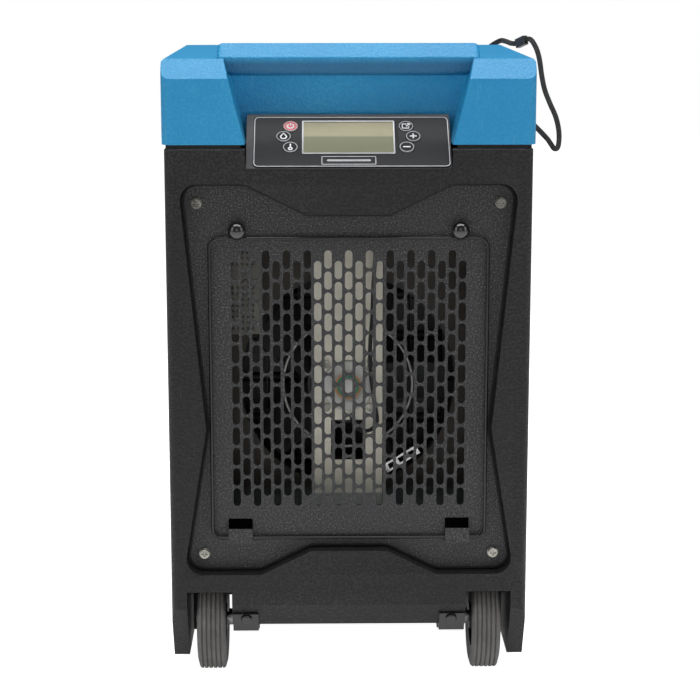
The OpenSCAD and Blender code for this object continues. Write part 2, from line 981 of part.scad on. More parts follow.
// Fin pack: parallel plates bored for the tubes
module coil_fins(y) {
  fins = floor(coil_half / fin_pitch);
  difference() {
    for (i = [-fins : fins])
      translate([i * fin_pitch, y, (coil_z[0] + coil_z[1]) / 2])
        cube([fin_t, coil_depth, coil_z[1] - coil_z[0]], center = true);
    for (i = [0 : tube_rows - 1])
      rod_x(0, y, tube_z(i), 2 * coil_half + 20, tube_r + 0.05);
  }
}

// Serpentine tube: straights joined by return bends
module coil_tubes(y) {
  bend_r = (tube_z(1) - tube_z(0)) / 2;
  reach = coil_half - 18;
  for (i = [0 : tube_rows - 1])
    rod_x(0, y, tube_z(i), 2 * reach, tube_r);
  for (i = [0 : tube_rows - 2]) {
    side = (i % 2 == 0) ? 1 : -1;
    translate([side * reach, y, tube_z(i) + bend_r])
      rotate([90, 0, 0])
        rotate([0, 0, (side > 0) ? -90 : 90])
          rotate_extrude(angle = 180)
            translate([bend_r, 0])
              circle(r = tube_r);
  }
}

module condenser_fins() {
  color("#b8bcbe")
    coil_fins(condenser_y);
}

module condenser_tubes() {
  color("#b06a3b")
    coil_tubes(condenser_y);
}

module evaporator_fins() {
  color("#b8bcbe")
    coil_fins(evaporator_y);
}

module evaporator_tubes() {
  color("#b06a3b")
    coil_tubes(evaporator_y);
}

// A closed vessel: domed cylinder standing on z0
module vessel(x, y, z0, z1, r, dome) {
  dome_r = (r * r + dome * dome) / (2 * dome);
  translate([x, y, 0])
    rotate_extrude()
      union() {
        translate([0, z0 + dome])
          square([r, z1 - z0 - 2 * dome]);
        intersection() {
          translate([0, z1 - dome_r])
            circle(r = dome_r);
          translate([0, z1 - dome - 0.1])
            square([r, dome + 1]);
        }
        intersection() {
          translate([0, z0 + dome_r])
            circle(r = dome_r);
          translate([0, z0 - eps])
            square([r, dome + eps + 0.1]);
        }
      }
}

module compressor() {
  color("#191919")
    union() {
      vessel(comp_x, comp_y, comp_z[0], comp_z[1], comp_r, 22);
      for (a = [90, 210, 330])
        translate([comp_x + 50 * cos(a), comp_y + 50 * sin(a) - 4, floor_z])
          cylinder(h = 34, r = 7);
      translate([comp_x + 20, comp_y, comp_z[1] - 6])
        cylinder(h = 20, r = 9);
    }
}

module accumulator() {
  color("#2b2b2b")
    union() {
      vessel(accu_x, accu_y, 118, 270, accu_r, 12);
      translate([accu_x, accu_y, floor_z])
        cylinder(h = 30, r = 8);
    }
}

module filter_drier() {
  color("#b06a3b")
    vessel(drier_x, drier_y, drier_z[0], drier_z[1], drier_r, 9);
}

// Copper lines between the vessels and the coils
module refrigerant_pipes() {
  pipe_d = 9;
  top_z = tube_z(tube_rows - 1);
  low_z = tube_z(0);
  end_x = -(coil_half - 18);
  out_x = end_x - 16;
  stub_x = comp_x + 20;
  over_z = coil_z[1] + 22;
  discharge = [[stub_x, comp_y, comp_z[1] + 14.5], [stub_x, comp_y, 340], [-90, 100, 370],
    [-140, 76, 420], [out_x, 66, over_z - 16], [out_x, 50, over_z], [out_x, 10, over_z],
    [out_x - 2, -24, over_z - 22], [out_x, condenser_y, top_z], [end_x, condenser_y, top_z]];
  condensed = [[end_x, condenser_y, low_z], [out_x, condenser_y, low_z], [-154, -30, low_z + 5],
    [drier_x, drier_y - 4, 160], [drier_x, drier_y, drier_z[0]]];
  liquid = [[drier_x, drier_y, drier_z[1]], [drier_x, drier_y, 400], [-150, 14, top_z - 3],
    [out_x, evaporator_y - 5, top_z], [end_x - 9, evaporator_y, top_z], [end_x, evaporator_y, top_z]];
  suction = [[end_x, evaporator_y, low_z], [out_x, evaporator_y, low_z], [-154, 50, 150],
    [-152, 72, 190], [-152, 80, 260], [-140, 84, 310], [-80, 86, 322], [-10, 100, 318],
    [accu_x, accu_y, 300], [accu_x, accu_y, 270.5]];
  color("#b06a3b") {
    sweep(smooth(discharge, 4), pipe_d, pipe_d, [0.31, 0.9, 0.27]);
    sweep(smooth(condensed, 4), pipe_d - 2, pipe_d - 2, [0.31, 0.27, 0.9]);
    sweep(smooth(liquid, 4), pipe_d - 2, pipe_d - 2, [0.31, 0.9, 0.27]);
    sweep(smooth(suction, 4), pipe_d, pipe_d, [0.71, 0.29, 0.41]);
    rod_x((comp_x + comp_r + accu_x - accu_r) / 2, accu_y + 4, 150,
      accu_x - accu_r - comp_x - comp_r + 1, pipe_d / 2);
  }
}

// Tray under the evaporator
module drain_pan() {
  color("#d4d6d2")
    difference() {
      block([-158, evaporator_y - 26, pan_z[0]], [158, evaporator_y + 22, pan_z[1]]);
      block([-155.5, evaporator_y - 23.5, pan_z[0] + 2.5],
        [155.5, evaporator_y + 19.5, pan_z[1] + eps]);
    }
}

module condensate_pump() {
  color("#26282b")
    union() {
      block([pump_x - 42, pump_y - 26, floor_z], [pump_x + 42, pump_y + 24, floor_z + 48]);
      translate([pump_x - 10, pump_y, floor_z + 47])
        cylinder(h = 26, r = 19);
      rod_y(pump_x + 30, floor_z + 36, pump_y + 23, 11, 4);
    }
}

// Clear hose from the pump to the rear port
module drain_tube() {
  hose_d = 8;
  start_y = pump_y + 34.2;
  color("#dfe3e0")
    sweep(smooth([[pump_x + 30, start_y, floor_z + 36], [pump_x + 30, start_y + 4, floor_z + 35],
      [pump_x + 26, start_y + 8, floor_z + 27], [port_x + 8, start_y + 9, port_z + 3],
      [port_x, start_y + 11, port_z], [port_x, rear_y - wall - 2.2, port_z]], 4),
      hose_d, hose_d, [0.33, 0.21, 0.9]);
}

// Barbed outlet for the condensate hose
module drain_port() {
  color("#cfcfcb")
    union() {
      rod_y(port_x, port_z, rear_y, 3, 13);
      rod_y(port_x, port_z, rear_y - wall - 2, wall + 3, 8.6);
      rod_y(port_x, port_z, rear_y + 2.5, port_tip_y - rear_y - 2.5, port_r);
    }
}

// ---------- electrics ----------

// Relay box beside the fan, with louvres in its face
module control_box() {
  color("#a8a69c")
    difference() {
      block([-158, -158, 336], [-84, shroud_y, 424]);
      for (row = [0 : 13])
        for (column = [0 : 6])
          block([-154 + column * 9.7, -158 - eps, 341 + row * 5.6],
            [-147.6 + column * 9.7, -156.4, 343.2 + row * 5.6]);
      block([-160, -159, 388], [-82, -156.4, 399.5]);
    }
}

// Motor lead: a loop from the top of the fan space down to the channel
module motor_cable() {
  lead_d = 4;
  lead = [[24, -112, bracket_z[1] + 2.2], [26, -124, bracket_z[1] + 3], [28, -136, 464],
    [29, -140, 440], [26, -141, 408], [24, -142, 380], [23, -143, 350], [21, -143, 320],
    [22, -142, 290], [26, -140, 262], [28, -137, 246], [22, -134.5, 237], [12, -133, 236],
    [6, -132, 242], [3, -131, 250.5]];
  color("#151515")
    sweep(smooth(lead, 3), lead_d, lead_d, [0.05, 1, 0.05]);
}

// Punched aluminium strip clipped to the channel's flange
module cable_tag() {
  color("#c9cbcc")
    translate([52.5, -120, 204])
      rotate([0, -32, 0])
        difference() {
          cube([38, 0.8, 9], center = true);
          for (i = [-1, 0, 1])
            translate([i * 11.5, 0, 0])
              cube([6, 2, 5], center = true);
        }
}

// Screw-down floor of the machine space
module base_plate() {
  clear = 1;
  color("#8f979b")
    difference() {
      block([-half_w + wall + clear, front_y + wall + 16, floor_z - sheet_t],
        [half_w - wall - clear, rear_y - wall - clear, floor_z]);
      both_sides()
        block([arch_x[0] - wall - clear, front_y, floor_z - 5],
          [half_w, axle_y + arch_r + wall + clear, floor_z + eps]);
    }
}

// Outlet grille: a sheet with rows of slots
module rear_panel() {
  rows = 13;
  pitch = 20;
  color("#2c2c2e")
    difference() {
      block([-rear_half - rear_margin + 0.5, rear_y - rear_t, rear_z[0] - rear_margin + 0.5],
        [rear_half + rear_margin - 0.5, rear_y, rear_z[1] + rear_margin - 0.5]);
      for (i = [0 : rows - 1])
        for (column = [-1, 0, 1])
          block([column * 80 - 34, rear_y - rear_t - eps, rear_z[0] + 15 + i * pitch],
            [column * 80 + 34, rear_y + eps, rear_z[0] + 27 + i * pitch]);
      for (side = [-1, 1])
        for (z = [rear_z[0] - 5, rear_z[1] + 5])
          rod_y(side * (rear_half + 4), z, rear_y - rear_t - eps, 5, 2.3);
    }
}

module rear_screws() {
  color("#8f8f8f")
    for (side = [-1, 1])
      for (z = [rear_z[0] - 5, rear_z[1] + 5]) {
        rod_y(side * (rear_half + 4), z, rear_y, 2.6, 4.4);
        rod_y(side * (rear_half + 4), z, rear_y - rear_t, 3, 2);
      }
}

// Mains inlet with three pins in a shrouded well
module power_inlet() {
  color("#1c1c1d")
    union() {
      difference() {
        union() {
          block([inlet_x - 18, rear_y, inlet_z - 13], [inlet_x + 18, rear_y + 3, inlet_z + 13]);
          block([inlet_x - 13.6, rear_y - 20, inlet_z - 9.6],
            [inlet_x + 13.6, rear_y + 1, inlet_z + 9.6]);
        }
        block([inlet_x - 11.5, rear_y - 16, inlet_z - 7.5],
          [inlet_x + 11.5, rear_y + 4, inlet_z + 7.5]);
      }
      for (i = [-1, 0, 1])
        block([inlet_x + i * 7 - 1, rear_y - 17, inlet_z + 2 - abs(i) * 4 - 2],
          [inlet_x + i * 7 + 1, rear_y - 2, inlet_z + 2 - abs(i) * 4 + 2]);
    }
}

// ---------- running gear ----------

// Through axle with a shoulder inboard of each wheel
module axle() {
  inner_x = wheel_x - 14.5;
  color("#a0a0a0")
    union() {
      rod_x(0, axle_y, wheel_r, 298, axle_r);
      both_sides()
        rod_x(inner_x - 3.5, axle_y, wheel_r, 5, 8);
    }
}

module axle_clips() {
  color("#b5b5b5")
    both_sides()
      difference() {
        rod_x(147.6, axle_y, wheel_r, 1.2, 9);
        rod_x(147.6, axle_y, wheel_r, 3, axle_r);
      }
}

// Angle plate under the front edge, with a bored block that holds the axle
module axle_brackets() {
  inner = 87;
  plate_t = 2.5;
  hang = 4.5;
  half = tunnel_half - 0.2;
  down = [sin(slope_angle), -cos(slope_angle)];
  out = [-cos(slope_angle), -sin(slope_angle)];
  tab_top = [front_y, crease_z] + 10 * down;
  heel = tab_top + plate_t * out;
  toe = heel + down * (heel[1] - base_z + plate_t + hang) / cos(slope_angle);
  color("#17171a")
    both_sides()
      translate([inner, 0, 0])
        rotate([90, 0, 90])
          linear_extrude(arch_x[0] - 0.5 - inner)
            difference() {
              polygon([heel, toe, toe - plate_t * out,
                toe - plate_t * out - down * hang / cos(slope_angle),
                [axle_y - half, base_z - plate_t],
                [axle_y - half, wheel_r - 10], [axle_y + half, wheel_r - 10],
                [axle_y + half, base_z - plate_t], [axle_y + 22, base_z - plate_t],
                [axle_y + 22, base_z], [axle_y + half, base_z],
                [axle_y + half, wheel_r + axle_r + 1.2], [axle_y - half, wheel_r + axle_r + 1.2],
                [axle_y - half, base_z], [front_y + slope_run, base_z], tab_top]);
              translate([axle_y, wheel_r])
                circle(r = axle_r);
            }
}

module bracket_bolts() {
  bolt_x = 98.5;
  color("#1b1b1d")
    both_sides() {
      on_slope()
        rod_y(bolt_x, -16, -5.2, 2.7, 5.2);
      translate([bolt_x, front_y + slope_run + 12, base_z - 6])
        cylinder(h = 3.5, r = 5.5);
    }
}

// Ribbed tyre section, as an outline round the wheel's axis
module tyre_section() {
  half = 14;
  seat_r = 35;
  rib = 4.4;
  difference() {
    polygon([[seat_r, -half + 2], [wheel_r - 7, -half], [wheel_r - 1.5, -half + 1.6],
      [wheel_r, -half + 3.2], [wheel_r, half - 3.2], [wheel_r - 1.5, half - 1.6],
      [wheel_r - 7, half], [seat_r, half - 2]]);
    for (i = [-2 : 2])
      translate([wheel_r, i * rib])
        square([3, 1.3], center = true);
  }
}

// Hub section: rim, web and bearing boss
module hub_section() {
  bore = axle_r + running;
  translate([30, -12])
    square([5, 24]);
  translate([12, -2.5])
    square([18.5, 5]);
  translate([bore, -13.8])
    square([12.5 - bore, 27.6]);
}

module on_wheel(side) {
  translate([side * wheel_x, axle_y, wheel_r])
    rotate([0, 90, 0])
      children();
}

module wheel_hub(side) {
  color("#2d2d2f")
    on_wheel(side)
      rotate_extrude()
        hub_section();
}

module tyre(side) {
  color("#4d4c4b")
    on_wheel(side)
      rotate_extrude()
        tyre_section();
}

module wheel_hub_left() {
  wheel_hub(-1);
}

module wheel_hub_right() {
  wheel_hub(1);
}

module tyre_left() {
  tyre(-1);
}

module tyre_right() {
  tyre(1);
}

// Rubber feet under the rear of the skids
module rear_feet() {
  color("#1f1f1f")
    both_sides()
      translate([foot_x, foot_y, 0])
        difference() {
          union() {
            cylinder(h = foot_h, r = foot_r);
            cylinder(h = foot_h + 10, r = 3);
          }
          translate([0, 0, -eps])
            cylinder(h = 5, r = 6);
        }
}

// ---------- strap ----------

module strap() {
  color("#161616")
    sweep(smooth(strap_route, 3), strap_w, strap_t);
}

// Screw and washer on the rear of the cover, and the eye on its side
module strap_anchor() {
  tail = strap_route[len(strap_route) - 1];
  color("#2a2a2b")
    union() {
      translate([150, rear_y, 560])
        rotate([-90, 0, 0])
          cylinder(h = 4, r = 8);
      block([146, rear_y + 3, 556], [154, rear_y + 8, 565.9]);
      block([half_cover, tail[1] - 6, tail[2] - 7], [tail[0] - 0.1, tail[1] + 6, tail[2] + 7]);
    }
}

// Plastic slider that holds the doubled webbing
module strap_slider() {
  color("#4a4b4d")
    translate(slider_at)
      rotate([0, -18, -57.8])
        difference() {
          cube([15, 5.6, 9.6], center = true);
          cube([17, 3.6, 7.4], center = true);
        }
}

base_tray();
body_shell();
top_cover();
carry_handle();
cover_gasket();
control_bezel();
keypad_overlay();
lcd_window();
lcd_module();
control_pcb();
power_button();
mode_button();
unit_button();
timer_button();
plus_button();
minus_button();
front_panel();
panel_screws();
filter_frame();
thumb_knob_left();
thumb_knob_right();
knob_nuts();
motor_bracket();
fan_motor();
motor_screws();
fan_impeller();
fan_guard_ring();
fan_shroud();
drip_shelf();
condenser_fins();
condenser_tubes();
evaporator_fins();
evaporator_tubes();
compressor();
accumulator();
filter_drier();
refrigerant_pipes();
drain_pan();
condensate_pump();
drain_tube();
drain_port();
control_box();
motor_cable();
cable_tag();
base_plate();
rear_panel();
rear_screws();
power_inlet();
axle();
axle_clips();
axle_brackets();
bracket_bolts();
wheel_hub_left();
wheel_hub_right();
tyre_left();
tyre_right();
rear_feet();
strap();
strap_anchor();
strap_slider();
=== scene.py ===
"""Portable restoration dehumidifier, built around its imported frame. Metres, front face towards -Y."""

import json
import math

import bmesh
import bpy
import numpy as np
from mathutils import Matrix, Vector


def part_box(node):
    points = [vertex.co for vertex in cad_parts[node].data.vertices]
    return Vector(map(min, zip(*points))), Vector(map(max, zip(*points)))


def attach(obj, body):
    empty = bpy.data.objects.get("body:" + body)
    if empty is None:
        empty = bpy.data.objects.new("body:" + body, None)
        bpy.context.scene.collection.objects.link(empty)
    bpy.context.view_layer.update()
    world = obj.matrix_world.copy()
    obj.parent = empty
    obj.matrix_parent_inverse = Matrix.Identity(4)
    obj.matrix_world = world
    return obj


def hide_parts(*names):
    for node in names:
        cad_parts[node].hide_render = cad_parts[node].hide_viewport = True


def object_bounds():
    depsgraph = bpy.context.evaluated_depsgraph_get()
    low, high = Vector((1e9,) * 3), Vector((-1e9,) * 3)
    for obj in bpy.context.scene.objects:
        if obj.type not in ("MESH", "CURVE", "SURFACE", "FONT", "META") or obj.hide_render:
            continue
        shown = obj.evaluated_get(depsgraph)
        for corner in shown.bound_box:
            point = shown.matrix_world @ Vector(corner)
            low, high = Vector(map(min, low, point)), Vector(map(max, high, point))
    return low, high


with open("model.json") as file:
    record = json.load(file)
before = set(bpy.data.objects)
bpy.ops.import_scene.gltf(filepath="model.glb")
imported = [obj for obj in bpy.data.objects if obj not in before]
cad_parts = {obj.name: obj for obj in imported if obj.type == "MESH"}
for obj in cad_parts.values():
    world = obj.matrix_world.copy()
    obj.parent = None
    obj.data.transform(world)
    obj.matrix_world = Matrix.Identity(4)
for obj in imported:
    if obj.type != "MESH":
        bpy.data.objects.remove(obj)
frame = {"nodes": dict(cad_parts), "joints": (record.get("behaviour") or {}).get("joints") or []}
cad_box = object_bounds()
MM = 0.001

# ---------------------------------------------------------------- camera
# A long lens a little above the handle, 1.8 m in front of the intake face, looking down.
front_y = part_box("body_shell")[0].y
CAMERA_DISTANCE = 1.8
CAMERA_HEIGHT = 0.6766
CAMERA_SIDE = -0.03
CAMERA_TILT = math.radians(11.0)
CAMERA_YAW = math.radians(-0.984)

camera_data = bpy.data.cameras.new("camera")
camera_data.lens = 100.95
camera_data.sensor_width = 36.0
camera = bpy.data.objects.new("camera", camera_data)
camera.location = (CAMERA_SIDE, front_y - CAMERA_DISTANCE, CAMERA_HEIGHT)
camera.rotation_euler = (math.pi / 2 - CAMERA_TILT, 0, CAMERA_YAW)
bpy.context.scene.collection.objects.link(camera)
bpy.context.scene.camera = camera

# ---------------------------------------------------------------- strap
# Woven nylon webbing, 5.5 mm wide. It is screwed to the rear of the cover, runs over the top edge
# through a plastic slider, hangs down the side and doubles back to an eye on the cover.


def piece(name, body, verts, faces, smooth=True):
    """Makes a mesh piece from arrays and rides it on a body."""
    mesh = bpy.data.meshes.new(name)
    mesh.from_pydata([tuple(map(float, v)) for v in np.asarray(verts).reshape(-1, 3)], [],
                     [tuple(map(int, f)) for f in faces])
    mesh.validate()
    mesh.shade_smooth() if smooth else mesh.shade_flat()
    made = bpy.data.objects.new(name, mesh)
    bpy.context.scene.collection.objects.link(made)
    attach(made, body)
    return made


def lattice(rows, columns, wrap_columns=True, wrap_rows=False, caps=True):
    """Quads of a grid of rows x columns points; caps close a wrapped grid's two end rows."""
    r = np.arange(rows if wrap_rows else rows - 1)
    c = np.arange(columns if wrap_columns else columns - 1)
    r, c = np.meshgrid(r, c, indexing="ij")
    r1, c1 = (r + 1) % rows, (c + 1) % columns
    quads = np.stack([r * columns + c, r * columns + c1, r1 * columns + c1, r1 * columns + c], -1)
    faces = [tuple(q) for q in quads.reshape(-1, 4)]
    if caps and wrap_columns and not wrap_rows:
        faces.append(tuple(range(columns - 1, -1, -1)))
        faces.append(tuple(range((rows - 1) * columns, rows * columns)))
    return faces


def smooth_route(points, steps):
    """Catmull-Rom curve through the points, with a number of steps to each stretch."""
    p = np.asarray(points, float)
    p = np.vstack([p[:1], p, p[-1:]])
    t = np.linspace(0, 1, steps, endpoint=False)[None, :, None]
    a, b, c, d = (p[i:len(p) - 3 + i, None, :] for i in range(4))
    curve = 0.5 * (2 * b + (c - a) * t + (2 * a - 5 * b + 4 * c - d) * t ** 2
                   + (3 * b - a - 3 * c + d) * t ** 3)
    return np.vstack([curve.reshape(-1, 3), p[-1:]])


def carried(route, outline, flat):
    """Carries a closed outline (across, thick) along a route; flat is the side the width lies in."""
    heading = np.gradient(route, axis=0)
    heading /= np.linalg.norm(heading, axis=1, keepdims=True)
    across = np.cross(heading, np.asarray(flat, float))
    across /= np.linalg.norm(across, axis=1, keepdims=True)
    thick = np.cross(across, heading)
    o = np.asarray(outline, float)
    return (route[:, None, :] + across[:, None, :] * o[None, :, :1]
            + thick[:, None, :] * o[None, :, 1:2])


def rounded_outline(width, height, radius, corner_steps=6):
    """Closed rounded rectangle about the origin, one arc to each corner, anticlockwise."""
    corners = [(1, 1, 0), (-1, 1, 90), (-1, -1, 180), (1, -1, 270)]
    parts = []
    for sx, sy, start in corners:
        a = np.radians(start + np.linspace(0, 90, corner_steps + 1))
        parts.append(np.stack([sx * (width / 2 - radius) + radius * np.cos(a),
                               sy * (height / 2 - radius) + radius * np.sin(a)], -1))
    return np.vstack(parts)


STRAP_ROUTE_MM = [
    (150, 182, 566), (150.2, 182, 582), (160, 181, 592), (170.7, 174, 599), (176.1, 166, 598.9),
    (181.3, 157, 597.1), (186.5, 148, 597.2), (191, 141, 599.2), (195.1, 135, 602), (199.5, 130.5, 602),
    (203.5, 127.5, 596.7), (206.8, 125.5, 589), (209.1, 124, 579.5), (211.4, 122, 563.7),
    (214.6, 120, 549), (220.2, 118, 534.8), (226.3, 116, 521), (229.6, 115, 507.8),
    (230.2, 114, 496.1), (228.6, 112.5, 488.2), (225, 111, 487.2), (221.5, 110, 491.6),
    (217.8, 109, 496.8), (212.6, 108, 502.4), (205, 107.5, 510), (195, 107, 519.5),
    (185, 106.5, 529), (175.5, 106, 537)]
STRAP_WIDTH = 0.0055
STRAP_THICKNESS = 0.0015

strap_path = smooth_route(np.array(STRAP_ROUTE_MM) * MM, 8)
strap_grid = carried(strap_path, rounded_outline(STRAP_WIDTH, STRAP_THICKNESS, 0.0006, 3),
                     (0.02, 1, 0.03))
strap = piece("webbing_strap", "housing", strap_grid,
              lattice(strap_grid.shape[0], strap_grid.shape[1]))
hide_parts("strap")

# ---------------------------------------------------------------- shared shader effects
# Each effect is one node group. It puts out masks and heights only; the shaders stay in the
# materials, and every pattern is measured in metres from the object's own coordinates.


def effect(name, inputs, outputs):
    """Starts a shader node group with named float or vector sockets."""
    tree = bpy.data.node_groups.new(name, "ShaderNodeTree")
    for label, kind, default in inputs:
        socket = tree.interface.new_socket(label, in_out="INPUT", socket_type=kind)
        if default is not None:
            socket.default_value = default
    for label in outputs:
        tree.interface.new_socket(label, in_out="OUTPUT", socket_type="NodeSocketFloat")
    entry = tree.nodes.new("NodeGroupInput")
    leave = tree.nodes.new("NodeGroupOutput")
    return tree, entry, leave


FLOAT, VECTOR = "NodeSocketFloat", "NodeSocketVector"


def add(tree, kind, **values):
    """Adds a node; a value is set on the socket of that name, or on the node itself."""
    node = tree.nodes.new(kind)
    for key, value in values.items():
        label = key.replace("_", " ").title() if key[0].islower() else key
        if hasattr(node, key):
            setattr(node, key, value)
        else:
            node.inputs[label].default_value = value
    return node


def math_node(tree, operation, first, second=None):
    """A Math node on a socket and a number or second socket."""
    node = tree.nodes.new("ShaderNodeMath")
    node.operation = operation
    for index, value in enumerate((first, second)):
        if value is None:
            continue
        if isinstance(value, (int, float)):
            node.inputs[index].default_value = value
        else:
            tree.links.new(value, node.inputs[index])
    return node.outputs[0]


def ramp(tree, source, low, high, to_low=0.0, to_high=1.0):
    """Smooth step of a socket from low..high to the two output values."""
    node = tree.nodes.new("ShaderNodeMapRange")
    node.interpolation_type = "SMOOTHSTEP"
    tree.links.new(source, node.inputs["Value"])
    for label, value in (("From Min", low), ("From Max", high), ("To Min", to_low), ("To Max", to_high)):
        node.inputs[label].default_value = value
    return node.outputs["Result"]


def noise(tree, vector, scale, detail=2.0, roughness=0.5):
    node = add(tree, "ShaderNodeTexNoise", detail=detail, roughness=roughness)
    tree.links.new(vector, node.inputs["Vector"])
    if isinstance(scale, (int, float)):
        node.inputs["Scale"].default_value = scale
    else:
        tree.links.new(scale, node.inputs["Scale"])
    return node.outputs["Fac"]


def leather_grain():
    """Moulded grain: rounded cells with worn-down tops. Height 0 to 1, and a pit mask."""
    tree, entry, leave = effect("leather_grain", [("Vector", VECTOR, None), ("Scale", FLOAT, 700.0)],
                                ["Height", "Pits"])
    cells = add(tree, "ShaderNodeTexVoronoi", feature="F1")
    tree.links.new(entry.outputs["Vector"], cells.inputs["Vector"])
    tree.links.new(entry.outputs["Scale"], cells.inputs["Scale"])
    fine = noise(tree, entry.outputs["Vector"], math_node(tree, "MULTIPLY", entry.outputs["Scale"], 1.7), 3)
    bump = math_node(tree, "ADD", math_node(tree, "MULTIPLY", cells.outputs["Distance"], 0.7),
                     math_node(tree, "MULTIPLY", fine, 0.5))
    tree.links.new(bump, leave.inputs["Height"])
    tree.links.new(ramp(tree, bump, 0.45, 0.8), leave.inputs["Pits"])
    return tree


def handling():
    """Use and age: broad tone drift, rubbed patches and fine scratches, each 0 to 1."""
    tree, entry, leave = effect("handling", [("Vector", VECTOR, None), ("Patch Scale", FLOAT, 9.0),
                                             ("Scratch Scale", FLOAT, 60.0)],
                                ["Tone", "Rubbed", "Scratches"])
    vector = entry.outputs["Vector"]
    tree.links.new(noise(tree, vector, entry.outputs["Patch Scale"], 4, 0.6), leave.inputs["Tone"])
    rubbed = noise(tree, vector, math_node(tree, "MULTIPLY", entry.outputs["Patch Scale"], 4.3), 6, 0.7)
    tree.links.new(ramp(tree, rubbed, 0.58, 0.74), leave.inputs["Rubbed"])
    stretch = add(tree, "ShaderNodeVectorMath", operation="MULTIPLY")
    stretch.inputs[1].default_value = (1.0, 1.0, 0.06)
    tree.links.new(vector, stretch.inputs[0])
    line_scale = math_node(tree, "MULTIPLY", entry.outputs["Scratch Scale"], 12.0)
    lines = noise(tree, stretch.outputs[0], line_scale, 2)
    tree.links.new(ramp(tree, lines, 0.69, 0.74), leave.inputs["Scratches"])
    return tree


def powder():
    """Powder coat: orange-peel height and light and dark flecks."""
    tree, entry, leave = effect("powder", [("Vector", VECTOR, None), ("Scale", FLOAT, 900.0)],
                                ["Height", "Light Flecks", "Dark Flecks"])
    vector, scale = entry.outputs["Vector"], entry.outputs["Scale"]
    coarse = noise(tree, vector, scale, 3, 0.65)
    fine = noise(tree, vector, math_node(tree, "MULTIPLY", scale, 1.9), 1)
    tree.links.new(math_node(tree, "ADD", coarse, math_node(tree, "MULTIPLY", fine, 0.4)),
                   leave.inputs["Height"])
    tree.links.new(ramp(tree, coarse, 0.52, 0.66), leave.inputs["Light Flecks"])
    tree.links.new(ramp(tree, coarse, 0.47, 0.36), leave.inputs["Dark Flecks"])
    return tree


def dust():
    """Dust that settles on faces turned upwards and gathers in patches."""
    tree, entry, leave = effect("dust", [("Vector", VECTOR, None), ("Scale", FLOAT, 30.0)], ["Amount"])
    up = add(tree, "ShaderNodeNewGeometry")
    split = add(tree, "ShaderNodeSeparateXYZ")
    tree.links.new(up.outputs["Normal"], split.inputs[0])
    patchy = ramp(tree, noise(tree, entry.outputs["Vector"], entry.outputs["Scale"], 8, 0.7), 0.35, 0.75)
    facing = ramp(tree, split.outputs["Z"], -0.1, 1.0, 0.25, 1.0)
    tree.links.new(math_node(tree, "MULTIPLY", patchy, facing), leave.inputs["Amount"])
    return tree


GRAIN, HANDLING, POWDER, DUST = leather_grain(), handling(), powder(), dust()


class Finish:
    """One material: a Principled shader fed by a chain of colour, roughness and height."""

    def __init__(self, name, color, roughness, **sockets):
        self.material = bpy.data.materials.new(name)
        self.material.use_nodes = True
        self.tree = self.material.node_tree
        self.shader = self.tree.nodes["Principled BSDF"]
        self.vector = add(self.tree, "ShaderNodeTexCoord").outputs["Object"]
        self.shader.inputs["Base Color"].default_value = (*color, 1)
        self.shader.inputs["Roughness"].default_value = roughness
        for label, value in sockets.items():
            self.shader.inputs[label.replace("_", " ")].default_value = value
        self.color, self.rough, self.normal = color, roughness, None

    def group(self, tree, **values):
        """Places a shared effect and returns its outputs."""
        node = self.tree.nodes.new("ShaderNodeGroup")
        node.node_tree = tree
        self.tree.links.new(self.vector, node.inputs["Vector"])
        for label, value in values.items():
            node.inputs[label.replace("_", " ")].default_value = value
        return node.outputs

    def tint(self, mask, color, amount=1.0):
        """Mixes a colour over what is there, by a mask times an amount."""
        mix = self.tree.nodes.new("ShaderNodeMix")
        mix.data_type = "RGBA"
        self.tree.links.new(math_node(self.tree, "MULTIPLY", mask, amount), mix.inputs["Factor"])
        if isinstance(self.color, tuple):
            mix.inputs["A"].default_value = (*self.color, 1)
        else:
            self.tree.links.new(self.color, mix.inputs["A"])
        mix.inputs["B"].default_value = (*color, 1)
        self.color = mix.outputs["Result"]
        self.tree.links.new(self.color, self.shader.inputs["Base Color"])
        return self

    def gloss(self, mask, amount):
        """Adds a mask times an amount to the roughness."""
        self.rough = math_node(self.tree, "ADD", math_node(self.tree, "MULTIPLY", mask, amount), self.rough)
        self.tree.links.new(self.rough, self.shader.inputs["Roughness"])
        return self

    def relief(self, height, distance, strength=1.0):
        """Adds a bump of that real depth, in metres, over what is there."""
        bump = add(self.tree, "ShaderNodeBump", strength=strength, distance=distance)
        self.tree.links.new(height, bump.inputs["Height"])
        if self.normal is not None:
            self.tree.links.new(self.normal, bump.inputs["Normal"])
        self.normal = bump.outputs["Normal"]
        self.tree.links.new(self.normal, self.shader.inputs["Normal"])
        return self

    def wear(self, light, dark, tone=0.5, rubbed=0.15, scratches=0.2, **scales):
        """Tone drift between two colours, rubbed patches and scratches."""
        marks = self.group(HANDLING, **scales)
        self.tint(ramp(self.tree, marks["Tone"], 0.3, 0.7), dark, tone)
        self.tint(marks["Rubbed"], light, rubbed)
        self.tint(marks["Scratches"], light, scratches)
        return self.gloss(marks["Rubbed"], -0.08)


def paint(finish, *targets):
    """Gives pieces or CAD nodes their material."""
    for target in targets:
        made = frame["nodes"][target] if isinstance(target, str) else target
        made.data.materials.clear()
        made.data.materials.append(finish.material)


